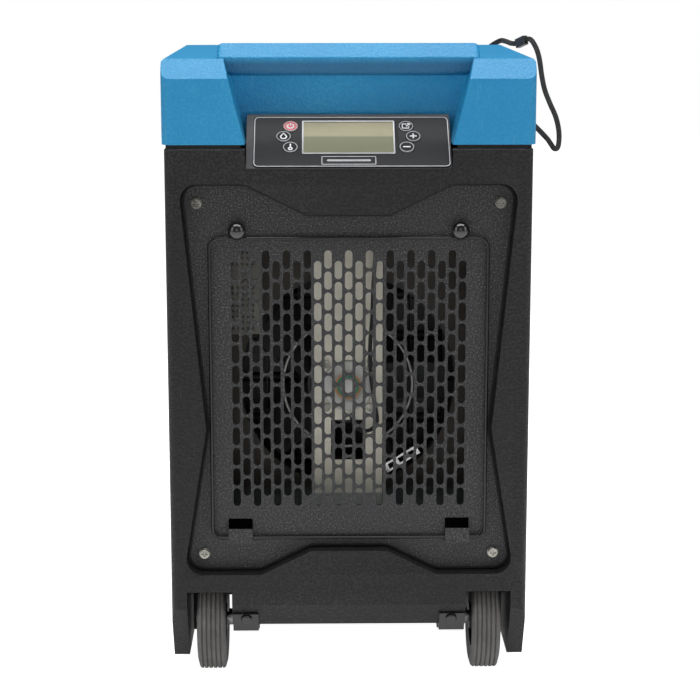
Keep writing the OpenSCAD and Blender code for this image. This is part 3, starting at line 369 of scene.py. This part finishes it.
webbing = Finish("nylon_webbing", (0.010, 0.010, 0.011), 0.75, Sheen_Weight=0.25)
weave = add(webbing.tree, "ShaderNodeTexWave", scale=520.0, distortion=1.5, bands_direction="Z")
webbing.tree.links.new(webbing.vector, weave.inputs["Vector"])
webbing.relief(weave.outputs["Fac"], 0.0002, 0.8).tint(weave.outputs["Fac"], (0.03, 0.03, 0.032), 0.5)
webbing.wear((0.06, 0.06, 0.06), (0.006, 0.006, 0.006), 0.5, 0.3, 0.1)
paint(webbing, strap)
slider_plastic = Finish("slider_plastic", (0.05, 0.05, 0.054), 0.42)
slider_plastic.relief(slider_plastic.group(GRAIN, Scale=1500.0)["Height"], 0.00006)
slider_plastic.wear((0.12, 0.12, 0.12), (0.03, 0.03, 0.03))
paint(slider_plastic, "strap_slider", "strap_anchor")

# ---------------------------------------------------------------- body shell and base tray
# Two rotationally moulded polyethylene shells, black, with a fine grain from the mould and soft
# edges. The tray below carries the wheel arches, the sloping front edge and the side skids.


def eased(name, nodes, body, width, segments=3, angle=28, clean=0.5):
    """A merged copy of CAD nodes with its flat faces joined and its edges rounded over."""
    work = bmesh.new()
    for node in nodes:
        work.from_mesh(frame["nodes"][node].data)
    bmesh.ops.remove_doubles(work, verts=work.verts, dist=0.00001)
    if clean:
        bmesh.ops.dissolve_limit(work, angle_limit=math.radians(clean), verts=work.verts, edges=work.edges)
    mesh = bpy.data.meshes.new(name)
    work.to_mesh(mesh)
    work.free()
    mesh.shade_smooth()
    mesh.set_sharp_from_angle(angle=math.radians(angle))
    made = bpy.data.objects.new(name, mesh)
    bpy.context.scene.collection.objects.link(made)
    if width:
        bevel = made.modifiers.new("eased_edges", "BEVEL")
        bevel.width = width
        bevel.segments = segments
        bevel.limit_method = "ANGLE"
        bevel.angle_limit = math.radians(angle)
        bevel.use_clamp_overlap = True
        bevel.harden_normals = True
        bevel.miter_outer = "MITER_ARC"
    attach(made, body)
    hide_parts(*nodes)
    return made


black_poly = Finish("black_polyethylene", (0.0095, 0.0095, 0.0098), 0.42, Specular_IOR_Level=0.27)
grain = black_poly.group(GRAIN, Scale=430.0)
black_poly.tint(grain["Pits"], (0.034, 0.034, 0.036), 0.6)
black_poly.wear((0.06, 0.059, 0.058), (0.010, 0.010, 0.0105), 0.6, 0.10, 0.2, Scratch_Scale=38.0)
black_poly.tint(black_poly.group(DUST, Scale=18.0)["Amount"], (0.09, 0.087, 0.085), 0.08)
black_poly.relief(grain["Height"], 0.0008, 0.7)

shell = eased("moulded_shell", ["body_shell"], "housing", 0.0018)
tray = eased("moulded_tray", ["base_tray"], "housing", 0.0022)
paint(black_poly, shell, tray)

# This black rubber finish also colours the painted shadow line round the intake panel.
seal_and_shadow_line = Finish("seal_rubber", (0.006, 0.006, 0.006), 0.8)
seal_and_shadow_line.wear((0.02, 0.02, 0.02), (0.004, 0.004, 0.004))
paint(seal_and_shadow_line, "cover_gasket")

# ---------------------------------------------------------------- blue cover and handle
# The top moulding is the same polyethylene in blue. The handle is its front bar, and its two ends
# swell into the blocks on either side.


def blue_finish(name):
    """Grained blue polyethylene, handled and lightly scratched."""
    finish = Finish(name, (0.011, 0.250, 0.500), 0.42, Specular_IOR_Level=0.4)
    pits = finish.group(GRAIN, Scale=430.0)
    finish.tint(pits["Pits"], (0.045, 0.32, 0.55), 0.5)
    finish.wear((0.16, 0.42, 0.6), (0.008, 0.21, 0.45), 0.55, 0.10, 0.22, Scratch_Scale=30.0)
    return finish.relief(pits["Height"], 0.0009, 0.7)


cover = eased("moulded_cover", ["top_cover"], "housing", 0.0028, 4)


def bar_section(corners, radii, steps=7):
    """Closed outline of a polygon (y, z) with each corner rounded to its own radius."""
    c = np.asarray(corners, float)
    points = []
    for i, radius in enumerate(radii):
        before, here, after = c[i - 1], c[i], c[(i + 1) % len(c)]
        a, b = before - here, after - here
        a, b = a / np.linalg.norm(a), b / np.linalg.norm(b)
        half = math.acos(float(np.clip(a @ b, -1, 1))) / 2
        reach = radius / math.tan(half)
        centre = here + (a + b) / np.linalg.norm(a + b) * radius / math.sin(half)
        start, end = here + a * reach - centre, here + b * reach - centre
        sweep = math.pi - 2 * half
        turn_way = np.sign(start[0] * end[1] - start[1] * end[0])
        for k in range(steps):
            angle = turn_way * sweep * k / (steps - 1)
            points.append(centre + (math.cos(angle) * start[0] - math.sin(angle) * start[1],
                                    math.sin(angle) * start[0] + math.cos(angle) * start[1]))
    return np.array(points)


bar_low, bar_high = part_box("carry_handle")
front, back, low, high = bar_low.y, bar_high.y, bar_low.z, bar_high.z
CREASE_Z = 0.5965
BLOCK_EDGE_X = 0.1135
SLOPE_DEPTH = high - CREASE_Z
UNDERCUT = 0.0038
section = bar_section([(front, high - SLOPE_DEPTH), (front + UNDERCUT, low), (back, low), (back, high),
                       (front + SLOPE_DEPTH, high)], [0.0020, 0.0075, 0.0065, 0.0050, 0.0030])
SHOULDER = 0.0050
stations = np.concatenate([-1 + np.array([0, 0.004, 0.012, 0.024, 0.040, 0.055]),
                           np.linspace(-0.9, 0.9, 41), 1 - np.array([0.055, 0.040, 0.024, 0.012, 0.004, 0])])
stations = stations * bar_high.x
grid = np.empty((len(stations), len(section), 3))
inset = np.clip((np.abs(stations) - (bar_high.x - SHOULDER)) / SHOULDER, 0, 1)
drop = SHOULDER * (1 - np.sqrt(np.clip(1 - inset ** 2, 0, 1)))
over_block = np.abs(stations) > BLOCK_EDGE_X
grid[:, :, 0] = stations[:, None]
grid[:, :, 1] = section[None, :, 0]
grid[:, :, 2] = np.maximum(section[None, :, 1] - drop[:, None], low)
grid[:, :, 2] = np.where(over_block[:, None], np.maximum(grid[:, :, 2], low + 0.004), grid[:, :, 2])
handle = piece("handle_bar", "housing", grid, lattice(len(stations), len(section)))
handle.data.set_sharp_from_angle(angle=math.radians(60))
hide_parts("carry_handle")
paint(blue_finish("blue_polyethylene"), cover)

# The bar's front and underside are toned darker than the cover. The tone stands in for shade.
grip_blue = blue_finish("grip_blue")
grip_place = add(grip_blue.tree, "ShaderNodeSeparateXYZ")
grip_blue.tree.links.new(grip_blue.vector, grip_place.inputs[0])
TONE_TOP, TONE_BOTTOM = high - SLOPE_DEPTH + 0.0008, low + 0.010
grip_shade = ramp(grip_blue.tree, grip_place.outputs["Z"], TONE_TOP, TONE_BOTTOM)
grip_blue.tint(grip_shade, (0.003, 0.085, 0.20), 0.8)
paint(grip_blue, handle)

# ---------------------------------------------------------------- keypad desk
# A black moulded desk, tilted back, carries a glossy printed foil with a silver outline, a framed
# display and six round keys. The keys' signs are plain symbols.

press_axis = np.array(next(j for j in frame["joints"] if j["name"] == "power_press")["axis"])
face_normal = -press_axis / np.linalg.norm(press_axis)
face_across = np.array([1.0, 0.0, 0.0])
face_up = np.cross(face_normal, face_across)
foil_low, foil_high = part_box("keypad_overlay")
FOIL_THICKNESS = 0.0008
foil_length = (foil_high.z - foil_low.z - FOIL_THICKNESS * face_normal[2]) / face_up[2]
foil_foot = np.array([0, foil_low.y + FOIL_THICKNESS * -face_normal[1], foil_low.z])


def on_face(x, y, lift):
    """Points on the tilted face: across, up the slope from the foil's foot, and out of it."""
    x, y, lift = np.broadcast_arrays(x, y, lift)
    return (foil_foot + x[..., None] * face_across + y[..., None] * face_up
            + (lift[..., None] + FOIL_THICKNESS) * face_normal)


def face_centre(node):
    """Across and up-slope position of a node's middle, on the tilted face."""
    low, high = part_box(node)
    offset = (np.array(low) + np.array(high)) / 2 - foil_foot
    return offset @ face_across, offset @ face_up


def face_line(name, body, outline, width, height, closed=True):
    """A raised printed line of that width along an outline on the tilted face."""
    o = np.asarray(outline, float)
    before = np.roll(o, 1, 0) if closed else np.vstack([o[:1], o[:-1]])
    after = np.roll(o, -1, 0) if closed else np.vstack([o[1:], o[-1:]])
    way = after - before
    way /= np.linalg.norm(way, axis=1, keepdims=True)
    side = np.stack([-way[:, 1], way[:, 0]], -1) * width / 2
    rings = [(o - side, 0.0), (o - side, height), (o + side, height), (o + side, 0.0)]
    grid = np.stack([on_face(p[:, 0], p[:, 1], h) for p, h in rings], 1)
    return piece(name, body, grid, lattice(len(o), 4, True, closed), smooth=False)


def arc(centre, radius, start, end, steps=24):
    a = np.radians(np.linspace(start, end, steps))
    return np.stack([centre[0] + radius * np.cos(a), centre[1] + radius * np.sin(a)], -1)


desk_plastic = Finish("desk_plastic", (0.0105, 0.0105, 0.011), 0.4)
desk_plastic.relief(desk_plastic.group(GRAIN, Scale=1300.0)["Height"], 0.00008, 0.6)
desk_plastic.wear((0.05, 0.05, 0.05), (0.009, 0.009, 0.009), 0.4, 0.1, 0.15)
desk = eased("keypad_desk", ["control_bezel"], "housing", 0.0, clean=0)
paint(desk_plastic, desk, "power_inlet")

foil_print = Finish("printed_foil", (0.012, 0.0125, 0.014), 0.36, Specular_IOR_Level=0.18)
foil_print.wear((0.07, 0.07, 0.075), (0.017, 0.017, 0.019), 0.5, 0.12, 0.12, Patch_Scale=22.0)
foil_print.relief(foil_print.group(POWDER, Scale=1800.0)["Height"], 0.00003, 0.5)
foil = eased("keypad_foil", ["keypad_overlay"], "housing", 0.0, clean=0)
paint(foil_print, foil)

silver = Finish("silver_print", (0.42, 0.42, 0.43), 0.35, Metallic=0.6)
silver.wear((0.6, 0.6, 0.6), (0.3, 0.3, 0.31), 0.6, 0.2, 0.2, Patch_Scale=60.0)
white_ink = Finish("white_ink", (0.82, 0.82, 0.82), 0.45)
white_ink.wear((0.9, 0.9, 0.9), (0.7, 0.7, 0.7), 0.4, 0.2, 0.1, Patch_Scale=60.0)

OUTLINE_MARGIN = 0.0011
foil_width = foil_high.x - foil_low.x
outline = rounded_outline(foil_width - 2 * OUTLINE_MARGIN, foil_length - 2 * OUTLINE_MARGIN, 0.0042)
outline += ((foil_low.x + foil_high.x) / 2, foil_length / 2)
foil_border = face_line("foil_outline", "housing", outline, 0.0007, 0.00008)
PLATE_CENTRE_Y = 0.0088
PLATE_SIZE = (0.0497, 0.0103)
plate_outline = rounded_outline(*PLATE_SIZE, 0.0008)
plate_outline[:, 1] += PLATE_CENTRE_Y
name_border = face_line("nameplate_outline", "housing", plate_outline, 0.0007, 0.00008)
bar_outline = rounded_outline(PLATE_SIZE[0] * 0.78, 0.0008, 0.0003)
bar_outline[:, 1] += PLATE_CENTRE_Y
name_bar = face_line("nameplate_bar", "housing", bar_outline, 0.0016, 0.00009)
paint(silver, foil_border, name_border, name_bar)

# Display: a clear window over a reflective liquid-crystal panel, in a thin silver frame.
window_x, window_y = face_centre("lcd_window")
window_low, window_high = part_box("lcd_window")
window_width = window_high.x - window_low.x
window_length = (window_high.z - window_low.z) / face_up[2] - 0.0010
frame_outline = rounded_outline(window_width + 0.0006, window_length + 0.0012, 0.0006)
frame_outline += (window_x, window_y)
window_frame = face_line("display_frame", "housing", frame_outline, 0.0013, 0.0005)
paint(silver, window_frame)

display = Finish("display_glass", (0.176, 0.180, 0.101), 0.3, Specular_IOR_Level=0.3)
split = add(display.tree, "ShaderNodeSeparateXYZ")
display.tree.links.new(display.vector, split.inputs[0])
# The upper part of the display is tinted lighter: a painted reflection.
painted_reflection = ramp(display.tree, split.outputs["Z"], window_low.z + 0.0138, window_high.z - 0.0108)
display.tint(painted_reflection, (0.37, 0.335, 0.198), 0.95)
display.wear((0.5, 0.5, 0.38), (0.19, 0.19, 0.13), 0.25, 0.1, 0.06, Patch_Scale=30.0)
paint(display, "lcd_window")
module_plastic = Finish("display_module", (0.42, 0.44, 0.32), 0.5)
module_plastic.wear((0.5, 0.5, 0.4), (0.3, 0.3, 0.2))
paint(module_plastic, "lcd_module")
board = Finish("circuit_board", (0.015, 0.11, 0.045), 0.35)
board.wear((0.1, 0.3, 0.15), (0.01, 0.07, 0.03), 0.5, 0.2, 0.4, Patch_Scale=60.0)
paint(board, "control_pcb")

KEYS = {
    "power": [arc((0, 0), 0.0024, 130, 410), np.array([(0, 0.0006), (0, 0.0032)])],
    "mode": [arc((0, -0.0006), 0.0022, -220, 40),
             np.array([(-0.0017, 0.0008), (0, 0.0034), (0.0017, 0.0008)])],
    "unit": [np.array([(0, -0.0005), (0, 0.0033)]), arc((0, -0.0018), 0.0013, 0, 360)],
    "timer": [np.array([(0.0004, 0.0022), (-0.0028, 0.0022), (-0.0028, -0.0024), (0.0022, -0.0024),
                        (0.0022, -0.0004)]),
              np.array([(0.0002, -0.0004), (0.0030, 0.0028)]),
              np.array([(0.0010, 0.0028), (0.0030, 0.0028), (0.0030, 0.0010)])],
    "plus": [np.array([(-0.0026, 0), (0.0026, 0)]), np.array([(0, -0.0026), (0, 0.0026)])],
    "minus": [np.array([(-0.0028, 0), (0.0028, 0)])]}
SIGN_SCALE = 1.22
SIGN_WIDTH = 0.0013
SIGN_HEIGHT = 0.00105
key_dark = Finish("key_print", (0.012, 0.0125, 0.014), 0.4, Specular_IOR_Level=0.15)
key_dark.wear((0.05, 0.05, 0.055), (0.008, 0.008, 0.009), 0.4, 0.15, 0.1, Patch_Scale=70.0)
key_red = Finish("key_red", (0.58, 0.018, 0.03), 0.3, Coat_Weight=0.3, Coat_Roughness=0.1)
key_red.wear((0.75, 0.15, 0.15), (0.45, 0.01, 0.02), 0.4, 0.15, 0.1, Patch_Scale=70.0)
grey_ring = Finish("grey_ring", (0.42, 0.42, 0.425), 0.4)
grey_ring.wear((0.55, 0.55, 0.55), (0.32, 0.32, 0.32), 0.5, 0.2, 0.1, Patch_Scale=70.0)
for key, strokes in KEYS.items():
    body = key + "_key"
    cap = eased(key + "_cap", [key + "_button"], body, 0.0005, 3)
    paint(key_red if key == "power" else key_dark, cap)
    x, y = face_centre(key + "_button")
    middle = np.array((x, y))
    ring = face_line(key + "_ring", body, arc(middle, 0.0063, 0, 352.5, 48), 0.0008, 0.0010)
    paint(grey_ring, ring)
    for number, stroke in enumerate(strokes):
        sign = face_line(f"{key}_sign_{number}", body, stroke * SIGN_SCALE + middle, SIGN_WIDTH,
                         SIGN_HEIGHT, False)
        paint(white_ink, sign)

# ---------------------------------------------------------------- intake panel
# Charcoal powder-coated steel, punched with rows of round-ended slots and lanced for two hooks.
# It is held by four zinc-plated pan screws with washers.

powder_coat = Finish("charcoal_powder", (0.022, 0.022, 0.0235), 0.46, Specular_IOR_Level=0.4)
coat = powder_coat.group(POWDER, Scale=640.0)
powder_coat.tint(coat["Light Flecks"], (0.135, 0.135, 0.14), 0.85)
powder_coat.tint(coat["Dark Flecks"], (0.004, 0.004, 0.0045), 0.95)
powder_coat.wear((0.09, 0.09, 0.09), (0.028, 0.028, 0.03), 0.35, 0.08, 0.06)
powder_coat.relief(coat["Height"], 0.0005, 0.8)
panel = eased("intake_panel", ["front_panel"], "housing", 0.0005, 2)
grille = eased("outlet_panel", ["rear_panel"], "housing", 0.0004, 2)
paint(powder_coat, panel, grille)

# A thin black line on the panel's rim stands in for the shadowed gap between panel and shell.
SHADOW_LINE_WIDTH, SHADOW_LINE_LIFT = 0.0016, 0.0006
work = bmesh.new()
work.from_mesh(frame["nodes"]["front_panel"].data)
bmesh.ops.remove_doubles(work, verts=work.verts, dist=0.00001)
areas = {}
for face in work.faces:
    if face.normal.y < -0.99:
        level = round(face.verts[0].co.y, 4)
        areas[level] = areas.get(level, 0) + face.calc_area()
panel_face_y = max(areas, key=areas.get)
rim = {}
for edge in work.edges:
    flat = [f for f in edge.link_faces if f.normal.y < -0.99 and abs(f.verts[0].co.y - panel_face_y) < 0.0002]
    if len(flat) == 1 and len(edge.link_faces) == 2:
        for near, far in (edge.verts, reversed(edge.verts)):
            rim.setdefault(near.index, []).append(far.index)
places = {v.index: (v.co.x, v.co.z) for v in work.verts}
work.free()
if rim:
    first = min(rim, key=lambda index: places[index])
    loop, last = [first], None
    while True:
        options = [n for n in rim[loop[-1]] if n != last]
        last = loop[-1]
        if not options or options[0] == first or len(loop) > 4000:
            break
        loop.append(options[0])
    edge_line = np.array([places[index] for index in loop])
    gap = np.linalg.norm(edge_line - np.roll(edge_line, 1, 0), axis=1)
    edge_line = edge_line[gap > 0.0004]
    before = edge_line - np.roll(edge_line, 1, 0)
    after = np.roll(edge_line, -1, 0) - edge_line
    before /= np.linalg.norm(before, axis=1, keepdims=True)
    after /= np.linalg.norm(after, axis=1, keepdims=True)
    way = before + after
    way /= np.linalg.norm(way, axis=1, keepdims=True)
    side = np.stack([-way[:, 1], way[:, 0]], -1)
    if np.mean(np.sum(side * (edge_line.mean(0) - edge_line), 1)) < 0:
        side = -side
    rings = [(0.0, 0.0), (0.0, SHADOW_LINE_LIFT), (SHADOW_LINE_WIDTH, SHADOW_LINE_LIFT), (SHADOW_LINE_WIDTH, 0.0)]
    grid = np.stack([np.stack([(edge_line + side * reach)[:, 0], np.full(len(edge_line), panel_face_y - lift),
                               (edge_line + side * reach)[:, 1]], -1) for reach, lift in rings], 1)
    # The line is painted shadow in the black rubber finish, not a fitted part.
    paint(seal_and_shadow_line, piece("panel_shadow_line", "housing", grid,
                      lattice(len(edge_line), 4, True, True), smooth=False))

zinc = Finish("zinc_plate", (0.34, 0.335, 0.30), 0.2, Metallic=1.0)
zinc.wear((0.8, 0.79, 0.72), (0.06, 0.06, 0.05), 0.75, 0.4, 0.5, Patch_Scale=110.0, Scratch_Scale=120.0)
for node, label in (("panel_screws", "screws_front"), ("rear_screws", "screws_rear")):
    paint(zinc, eased(label, [node], "housing", 0.0006, 3))
paint(zinc, "knob_nuts", "motor_screws", "axle_clips")

# ---------------------------------------------------------------- filter clamp and knobs
# A bent wire loop, coated black, hooked at the bottom and held by two domed thumbscrews.

coated_wire = Finish("coated_wire", (0.004, 0.004, 0.0045), 0.16, Coat_Weight=0.4, Coat_Roughness=0.05,
                     Specular_IOR_Level=0.3)
coated_wire.wear((0.10, 0.10, 0.10), (0.003, 0.003, 0.003), 0.4, 0.12, 0.2, Patch_Scale=40.0)
coated_wire.relief(coated_wire.group(POWDER, Scale=900.0)["Height"], 0.00005, 0.5)
clamp = eased("filter_clamp_wire", ["filter_frame"], "filter_clamp", 0.0)
paint(coated_wire, clamp)

knob_gloss = Finish("knob_gloss", (0.009, 0.009, 0.009), 0.13, Coat_Weight=0.8, Coat_Roughness=0.06)
knob_gloss.wear((0.05, 0.05, 0.045), (0.007, 0.007, 0.007), 0.4, 0.2, 0.2, Patch_Scale=50.0)
for side in ("left", "right"):
    knob = eased(f"dome_knob_{side}", [f"thumb_knob_{side}"], f"knob_{side}", 0.0004, 2)
    paint(knob_gloss, knob)

# ---------------------------------------------------------------- fan, its channel and the bulkhead
# The motor hangs in a galvanised channel in front of the bulkhead. A printed disc marks its middle.

# Galvanised steel, coloured much paler and less metallic than the bare metal: painted light, making up for
# the little light that reaches the channel through the grille.
galvanised_painted_light = Finish("galvanised_sheet_painted_light", (0.92, 0.89, 0.76), 0.38, Metallic=0.05)
galvanised_painted_light.wear((0.95, 0.93, 0.84), (0.60, 0.58, 0.48), 0.5, 0.35, 0.4, Patch_Scale=24.0)
galvanised_painted_light.relief(galvanised_painted_light.group(POWDER, Scale=260.0)["Height"], 0.0002, 0.4)
channel = eased("motor_channel", ["motor_bracket"], "housing", 0.0005, 2)
paint(galvanised_painted_light, channel)

cast_metal = Finish("cast_motor", (0.5, 0.5, 0.48), 0.36, Metallic=0.9)
cast_metal.wear((0.7, 0.7, 0.68), (0.3, 0.3, 0.29), 0.6, 0.3, 0.4, Patch_Scale=60.0)
motor = eased("motor_stator", ["fan_motor"], "housing", 0.0006, 2)
paint(cast_metal, motor)

motor_low, motor_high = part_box("fan_motor")
disc_centre = ((motor_low.x + motor_high.x) / 2, motor_low.y, (motor_low.z + motor_high.z) / 2)
DISC_RINGS = [(0.0, 0.0065, "disc_white", (0.75, 0.75, 0.72)),
              (0.0065, 0.0085, "disc_grey", (0.25, 0.25, 0.24)),
              (0.0085, 0.0108, "disc_green", (0.01, 0.25, 0.13)),
              (0.0108, 0.0130, "disc_tan", (0.5, 0.24, 0.1)),
              (0.0130, 0.0160, "disc_rim", (0.45, 0.43, 0.38))]
DISC_LIFT = 0.0003
for inner, outer, name, color in DISC_RINGS:
    around = np.linspace(0, 2 * math.pi, 64, endpoint=False)
    rings = [(inner, 0), (inner, DISC_LIFT), (outer, DISC_LIFT), (outer, 0)]
    grid = np.stack([np.stack([disc_centre[0] + r * np.cos(around),
                               np.full_like(around, disc_centre[1] - h),
                               disc_centre[2] + r * np.sin(around)], -1) for r, h in rings], 1)
    ink = Finish(name, color, 0.35)
    ink.wear(tuple(min(1.0, c * 1.4) for c in color), tuple(c * 0.6 for c in color), 0.5, 0.3, 0.3,
             Patch_Scale=90.0)
    paint(ink, piece(name, "housing", grid, lattice(64, 4, True, True), smooth=False))

fan_black = Finish("fan_black", (0.02, 0.02, 0.021), 0.45)
fan_black.wear((0.07, 0.07, 0.068), (0.014, 0.014, 0.014), 0.5, 0.25, 0.1)
paint(fan_black, "fan_impeller")
guard_wire = Finish("guard_wire", (0.4, 0.4, 0.38), 0.35, Metallic=0.8)
guard_wire.wear((0.6, 0.6, 0.58), (0.25, 0.25, 0.24))
paint(guard_wire, "fan_guard_ring")

bulkhead = Finish("bulkhead_sheet", (0.060, 0.053, 0.043), 0.5, Metallic=0.3)
bulkhead.wear((0.12, 0.11, 0.09), (0.035, 0.03, 0.025), 0.7, 0.3, 0.3, Patch_Scale=14.0)
paint(bulkhead, eased("fan_bulkhead", ["fan_shroud"], "housing", 0.0006, 2))
shelf_sheet = Finish("shelf_sheet", (0.30, 0.35, 0.38), 0.28, Metallic=0.85)
shelf_sheet.wear((0.5, 0.53, 0.55), (0.16, 0.19, 0.21), 0.8, 0.3, 0.4, Patch_Scale=16.0)
paint(shelf_sheet, "drip_shelf", "base_plate")

pale_sheet = Finish("relay_sheet", (0.16, 0.155, 0.14), 0.45, Metallic=0.2)
pale_sheet.wear((0.3, 0.3, 0.27), (0.08, 0.08, 0.07), 0.6, 0.3, 0.3, Patch_Scale=30.0)
paint(pale_sheet, eased("relay_box", ["control_box"], "housing", 0.0004, 2))
jacket = Finish("cable_jacket", (0.008, 0.008, 0.008), 0.42)
jacket.wear((0.03, 0.03, 0.03), (0.005, 0.005, 0.005))
paint(jacket, "motor_cable")
bright = Finish("bright_strip", (0.75, 0.75, 0.75), 0.22, Metallic=0.95)
bright.wear((0.95, 0.95, 0.95), (0.5, 0.5, 0.5), 0.5, 0.3, 0.4, Patch_Scale=60.0)
paint(bright, "cable_tag")

# ---------------------------------------------------------------- refrigeration and drainage
# Copper tube, aluminium fins, an enamelled compressor, and moulded parts for the condensate.

copper = Finish("copper_tube", (0.52, 0.19, 0.09), 0.3, Metallic=1.0)
copper.wear((0.7, 0.35, 0.2), (0.3, 0.1, 0.05), 0.7, 0.3, 0.3, Patch_Scale=30.0)
paint(copper, "refrigerant_pipes", "filter_drier")
# The coil tubes and fins are coloured near-black, far darker than bare copper and aluminium.
near_black_coil_tube = Finish("dark_coil_tube", (0.012, 0.009, 0.007), 0.5)
near_black_coil_tube.wear((0.05, 0.03, 0.02), (0.007, 0.006, 0.005), 0.6, 0.3, 0.2, Patch_Scale=30.0)
paint(near_black_coil_tube, "condenser_tubes", "evaporator_tubes")
fins = Finish("dark_coil_fin", (0.022, 0.023, 0.025), 0.45)
fins.wear((0.06, 0.06, 0.06), (0.012, 0.012, 0.013), 0.6, 0.2, 0.5)
paint(fins, "condenser_fins", "evaporator_fins")


def block(name, body, low, high):
    """A plain closed box between two corners."""
    x0, y0, z0 = low
    x1, y1, z1 = high
    corners = [[(x0, y0, z), (x1, y0, z), (x1, y1, z), (x0, y1, z)] for z in (z0, z1)]
    return piece(name, body, np.array(corners, float), lattice(2, 4), smooth=False)


# One dark sheet across each coil stands in for the fins left out between the modelled ones.
for coil in ("condenser", "evaporator"):
    low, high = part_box(coil + "_fins")
    middle_y = (low.y + high.y) / 2
    paint(fins, block(coil + "_core", "housing", (low.x, middle_y - 0.0005, low.z),
                      (high.x, middle_y + 0.0005, high.z)))
enamel = Finish("black_enamel", (0.008, 0.008, 0.008), 0.22, Coat_Weight=0.4)
enamel.wear((0.05, 0.05, 0.05), (0.006, 0.006, 0.006))
paint(enamel, "compressor", "accumulator")
drain_grey = Finish("drain_grey", (0.05, 0.05, 0.052), 0.45)
drain_grey.wear((0.12, 0.12, 0.12), (0.03, 0.03, 0.03), 0.6, 0.2, 0.2)
paint(drain_grey, "drain_pan", "drain_tube", "drain_port")
pump_case = Finish("pump_case", (0.025, 0.027, 0.03), 0.4)
pump_case.wear((0.08, 0.08, 0.08), (0.018, 0.018, 0.018))
paint(pump_case, "condensate_pump")

# ---------------------------------------------------------------- running gear
# Solid rubber tyres with a ribbed tread on nylon centres, on one steel axle in pressed plates.

tread = Finish("tread_rubber", (0.115, 0.112, 0.108), 0.72)
tread.wear((0.26, 0.25, 0.24), (0.07, 0.068, 0.066), 0.7, 0.35, 0.3, Patch_Scale=40.0, Scratch_Scale=50.0)
tread.tint(tread.group(DUST, Scale=55.0)["Amount"], (0.22, 0.2, 0.18), 0.35)
tread.relief(tread.group(GRAIN, Scale=800.0)["Height"], 0.0003, 0.6)
nylon = Finish("hub_nylon", (0.018, 0.018, 0.019), 0.45)
nylon.wear((0.07, 0.07, 0.07), (0.012, 0.012, 0.012))
for side in ("left", "right"):
    tyre = eased(f"ribbed_tyre_{side}", [f"tyre_{side}"], f"wheel_{side}", 0.0005, 2, 40)
    paint(tread, tyre)
    paint(nylon, f"wheel_hub_{side}")

steel_bar = Finish("steel_bar", (0.35, 0.35, 0.35), 0.35, Metallic=1.0)
steel_bar.wear((0.5, 0.5, 0.5), (0.2, 0.19, 0.18), 0.6, 0.3, 0.4)
paint(steel_bar, "axle")
pressed = Finish("pressed_black", (0.009, 0.009, 0.010), 0.32, Coat_Weight=0.25)
pressed.wear((0.06, 0.06, 0.06), (0.007, 0.007, 0.007), 0.4, 0.2, 0.3, Patch_Scale=40.0)
pressed.relief(pressed.group(POWDER, Scale=600.0)["Height"], 0.0001, 0.5)
paint(pressed, eased("axle_plates", ["axle_brackets"], "housing", 0.0008, 3),
      eased("plate_bolts", ["bracket_bolts"], "housing", 0.0014, 3))
foot_rubber = Finish("foot_rubber", (0.012, 0.012, 0.012), 0.7)
foot_rubber.wear((0.05, 0.05, 0.05), (0.009, 0.009, 0.009))
paint(foot_rubber, eased("rubber_feet", ["rear_feet"], "housing", 0.0012, 3))

# ---------------------------------------------------------------- studio
# A white sweep, a wide overhead softbox, two side boxes and a low front fill.

white = bpy.data.materials.new("sweep_white")
white.use_nodes = True
white_shader = white.node_tree.nodes["Principled BSDF"]
white_shader.inputs["Base Color"].default_value = (0.95, 0.95, 0.95, 1)
white_shader.inputs["Roughness"].default_value = 0.9
white_shader.inputs["Emission Color"].default_value = (1, 1, 1, 1)
seen = white.node_tree.nodes.new("ShaderNodeLightPath")
glow = white.node_tree.nodes.new("ShaderNodeMapRange")
glow.inputs["To Min"].default_value = 0.42
glow.inputs["To Max"].default_value = 0.97
white.node_tree.links.new(seen.outputs["Is Camera Ray"], glow.inputs["Value"])
white.node_tree.links.new(glow.outputs["Result"], white_shader.inputs["Emission Strength"])
floor_mesh = bpy.data.meshes.new("floor")
floor_mesh.from_pydata([(-6, -6, 0), (6, -6, 0), (6, 6, 0), (-6, 6, 0)], [], [(0, 1, 2, 3)])
floor = bpy.data.objects.new("floor", floor_mesh)
bpy.context.scene.collection.objects.link(floor)
floor.data.materials.append(white)

world = bpy.data.worlds.new("studio")
bpy.context.scene.world = world
world.use_nodes = True
wt = world.node_tree
backdrop = wt.nodes["Background"]
backdrop.inputs["Color"].default_value = (1, 1, 1, 1)
rays = wt.nodes.new("ShaderNodeLightPath")
level = wt.nodes.new("ShaderNodeMapRange")
level.inputs["To Min"].default_value = 0.12
level.inputs["To Max"].default_value = 1.0
wt.links.new(rays.outputs["Is Camera Ray"], level.inputs["Value"])
wt.links.new(level.outputs["Result"], backdrop.inputs["Strength"])


def softbox(name, place, target, size, power):
    """A rectangular area light at a place, facing a target point."""
    light = bpy.data.lights.new(name, "AREA")
    light.shape = "RECTANGLE"
    light.size, light.size_y = size
    light.energy = power
    lamp = bpy.data.objects.new(name, light)
    lamp.location = place
    way = np.array(target) - np.array(place)
    flat = math.hypot(way[0], way[1])
    lamp.rotation_euler = (math.pi / 2 + math.atan2(way[2], flat), 0, math.atan2(-way[0], way[1]))
    bpy.context.scene.collection.objects.link(lamp)


middle_z = (cad_box[0][2] + cad_box[1][2]) / 2
softbox("overhead", (0, -0.25, 2.1), (0, 0, middle_z), (2.2, 1.6), 47)
softbox("left_box", (-2.0, -1.5, 1.2), (0, 0, middle_z), (0.9, 1.8), 8)
softbox("right_box", (2.0, -1.5, 1.2), (0, 0, middle_z), (0.9, 1.8), 8)
softbox("front_fill", (0, -3.2, 1.3), (0, 0, middle_z), (1.6, 1.2), 5)

bpy.context.scene.view_settings.view_transform = "Standard"
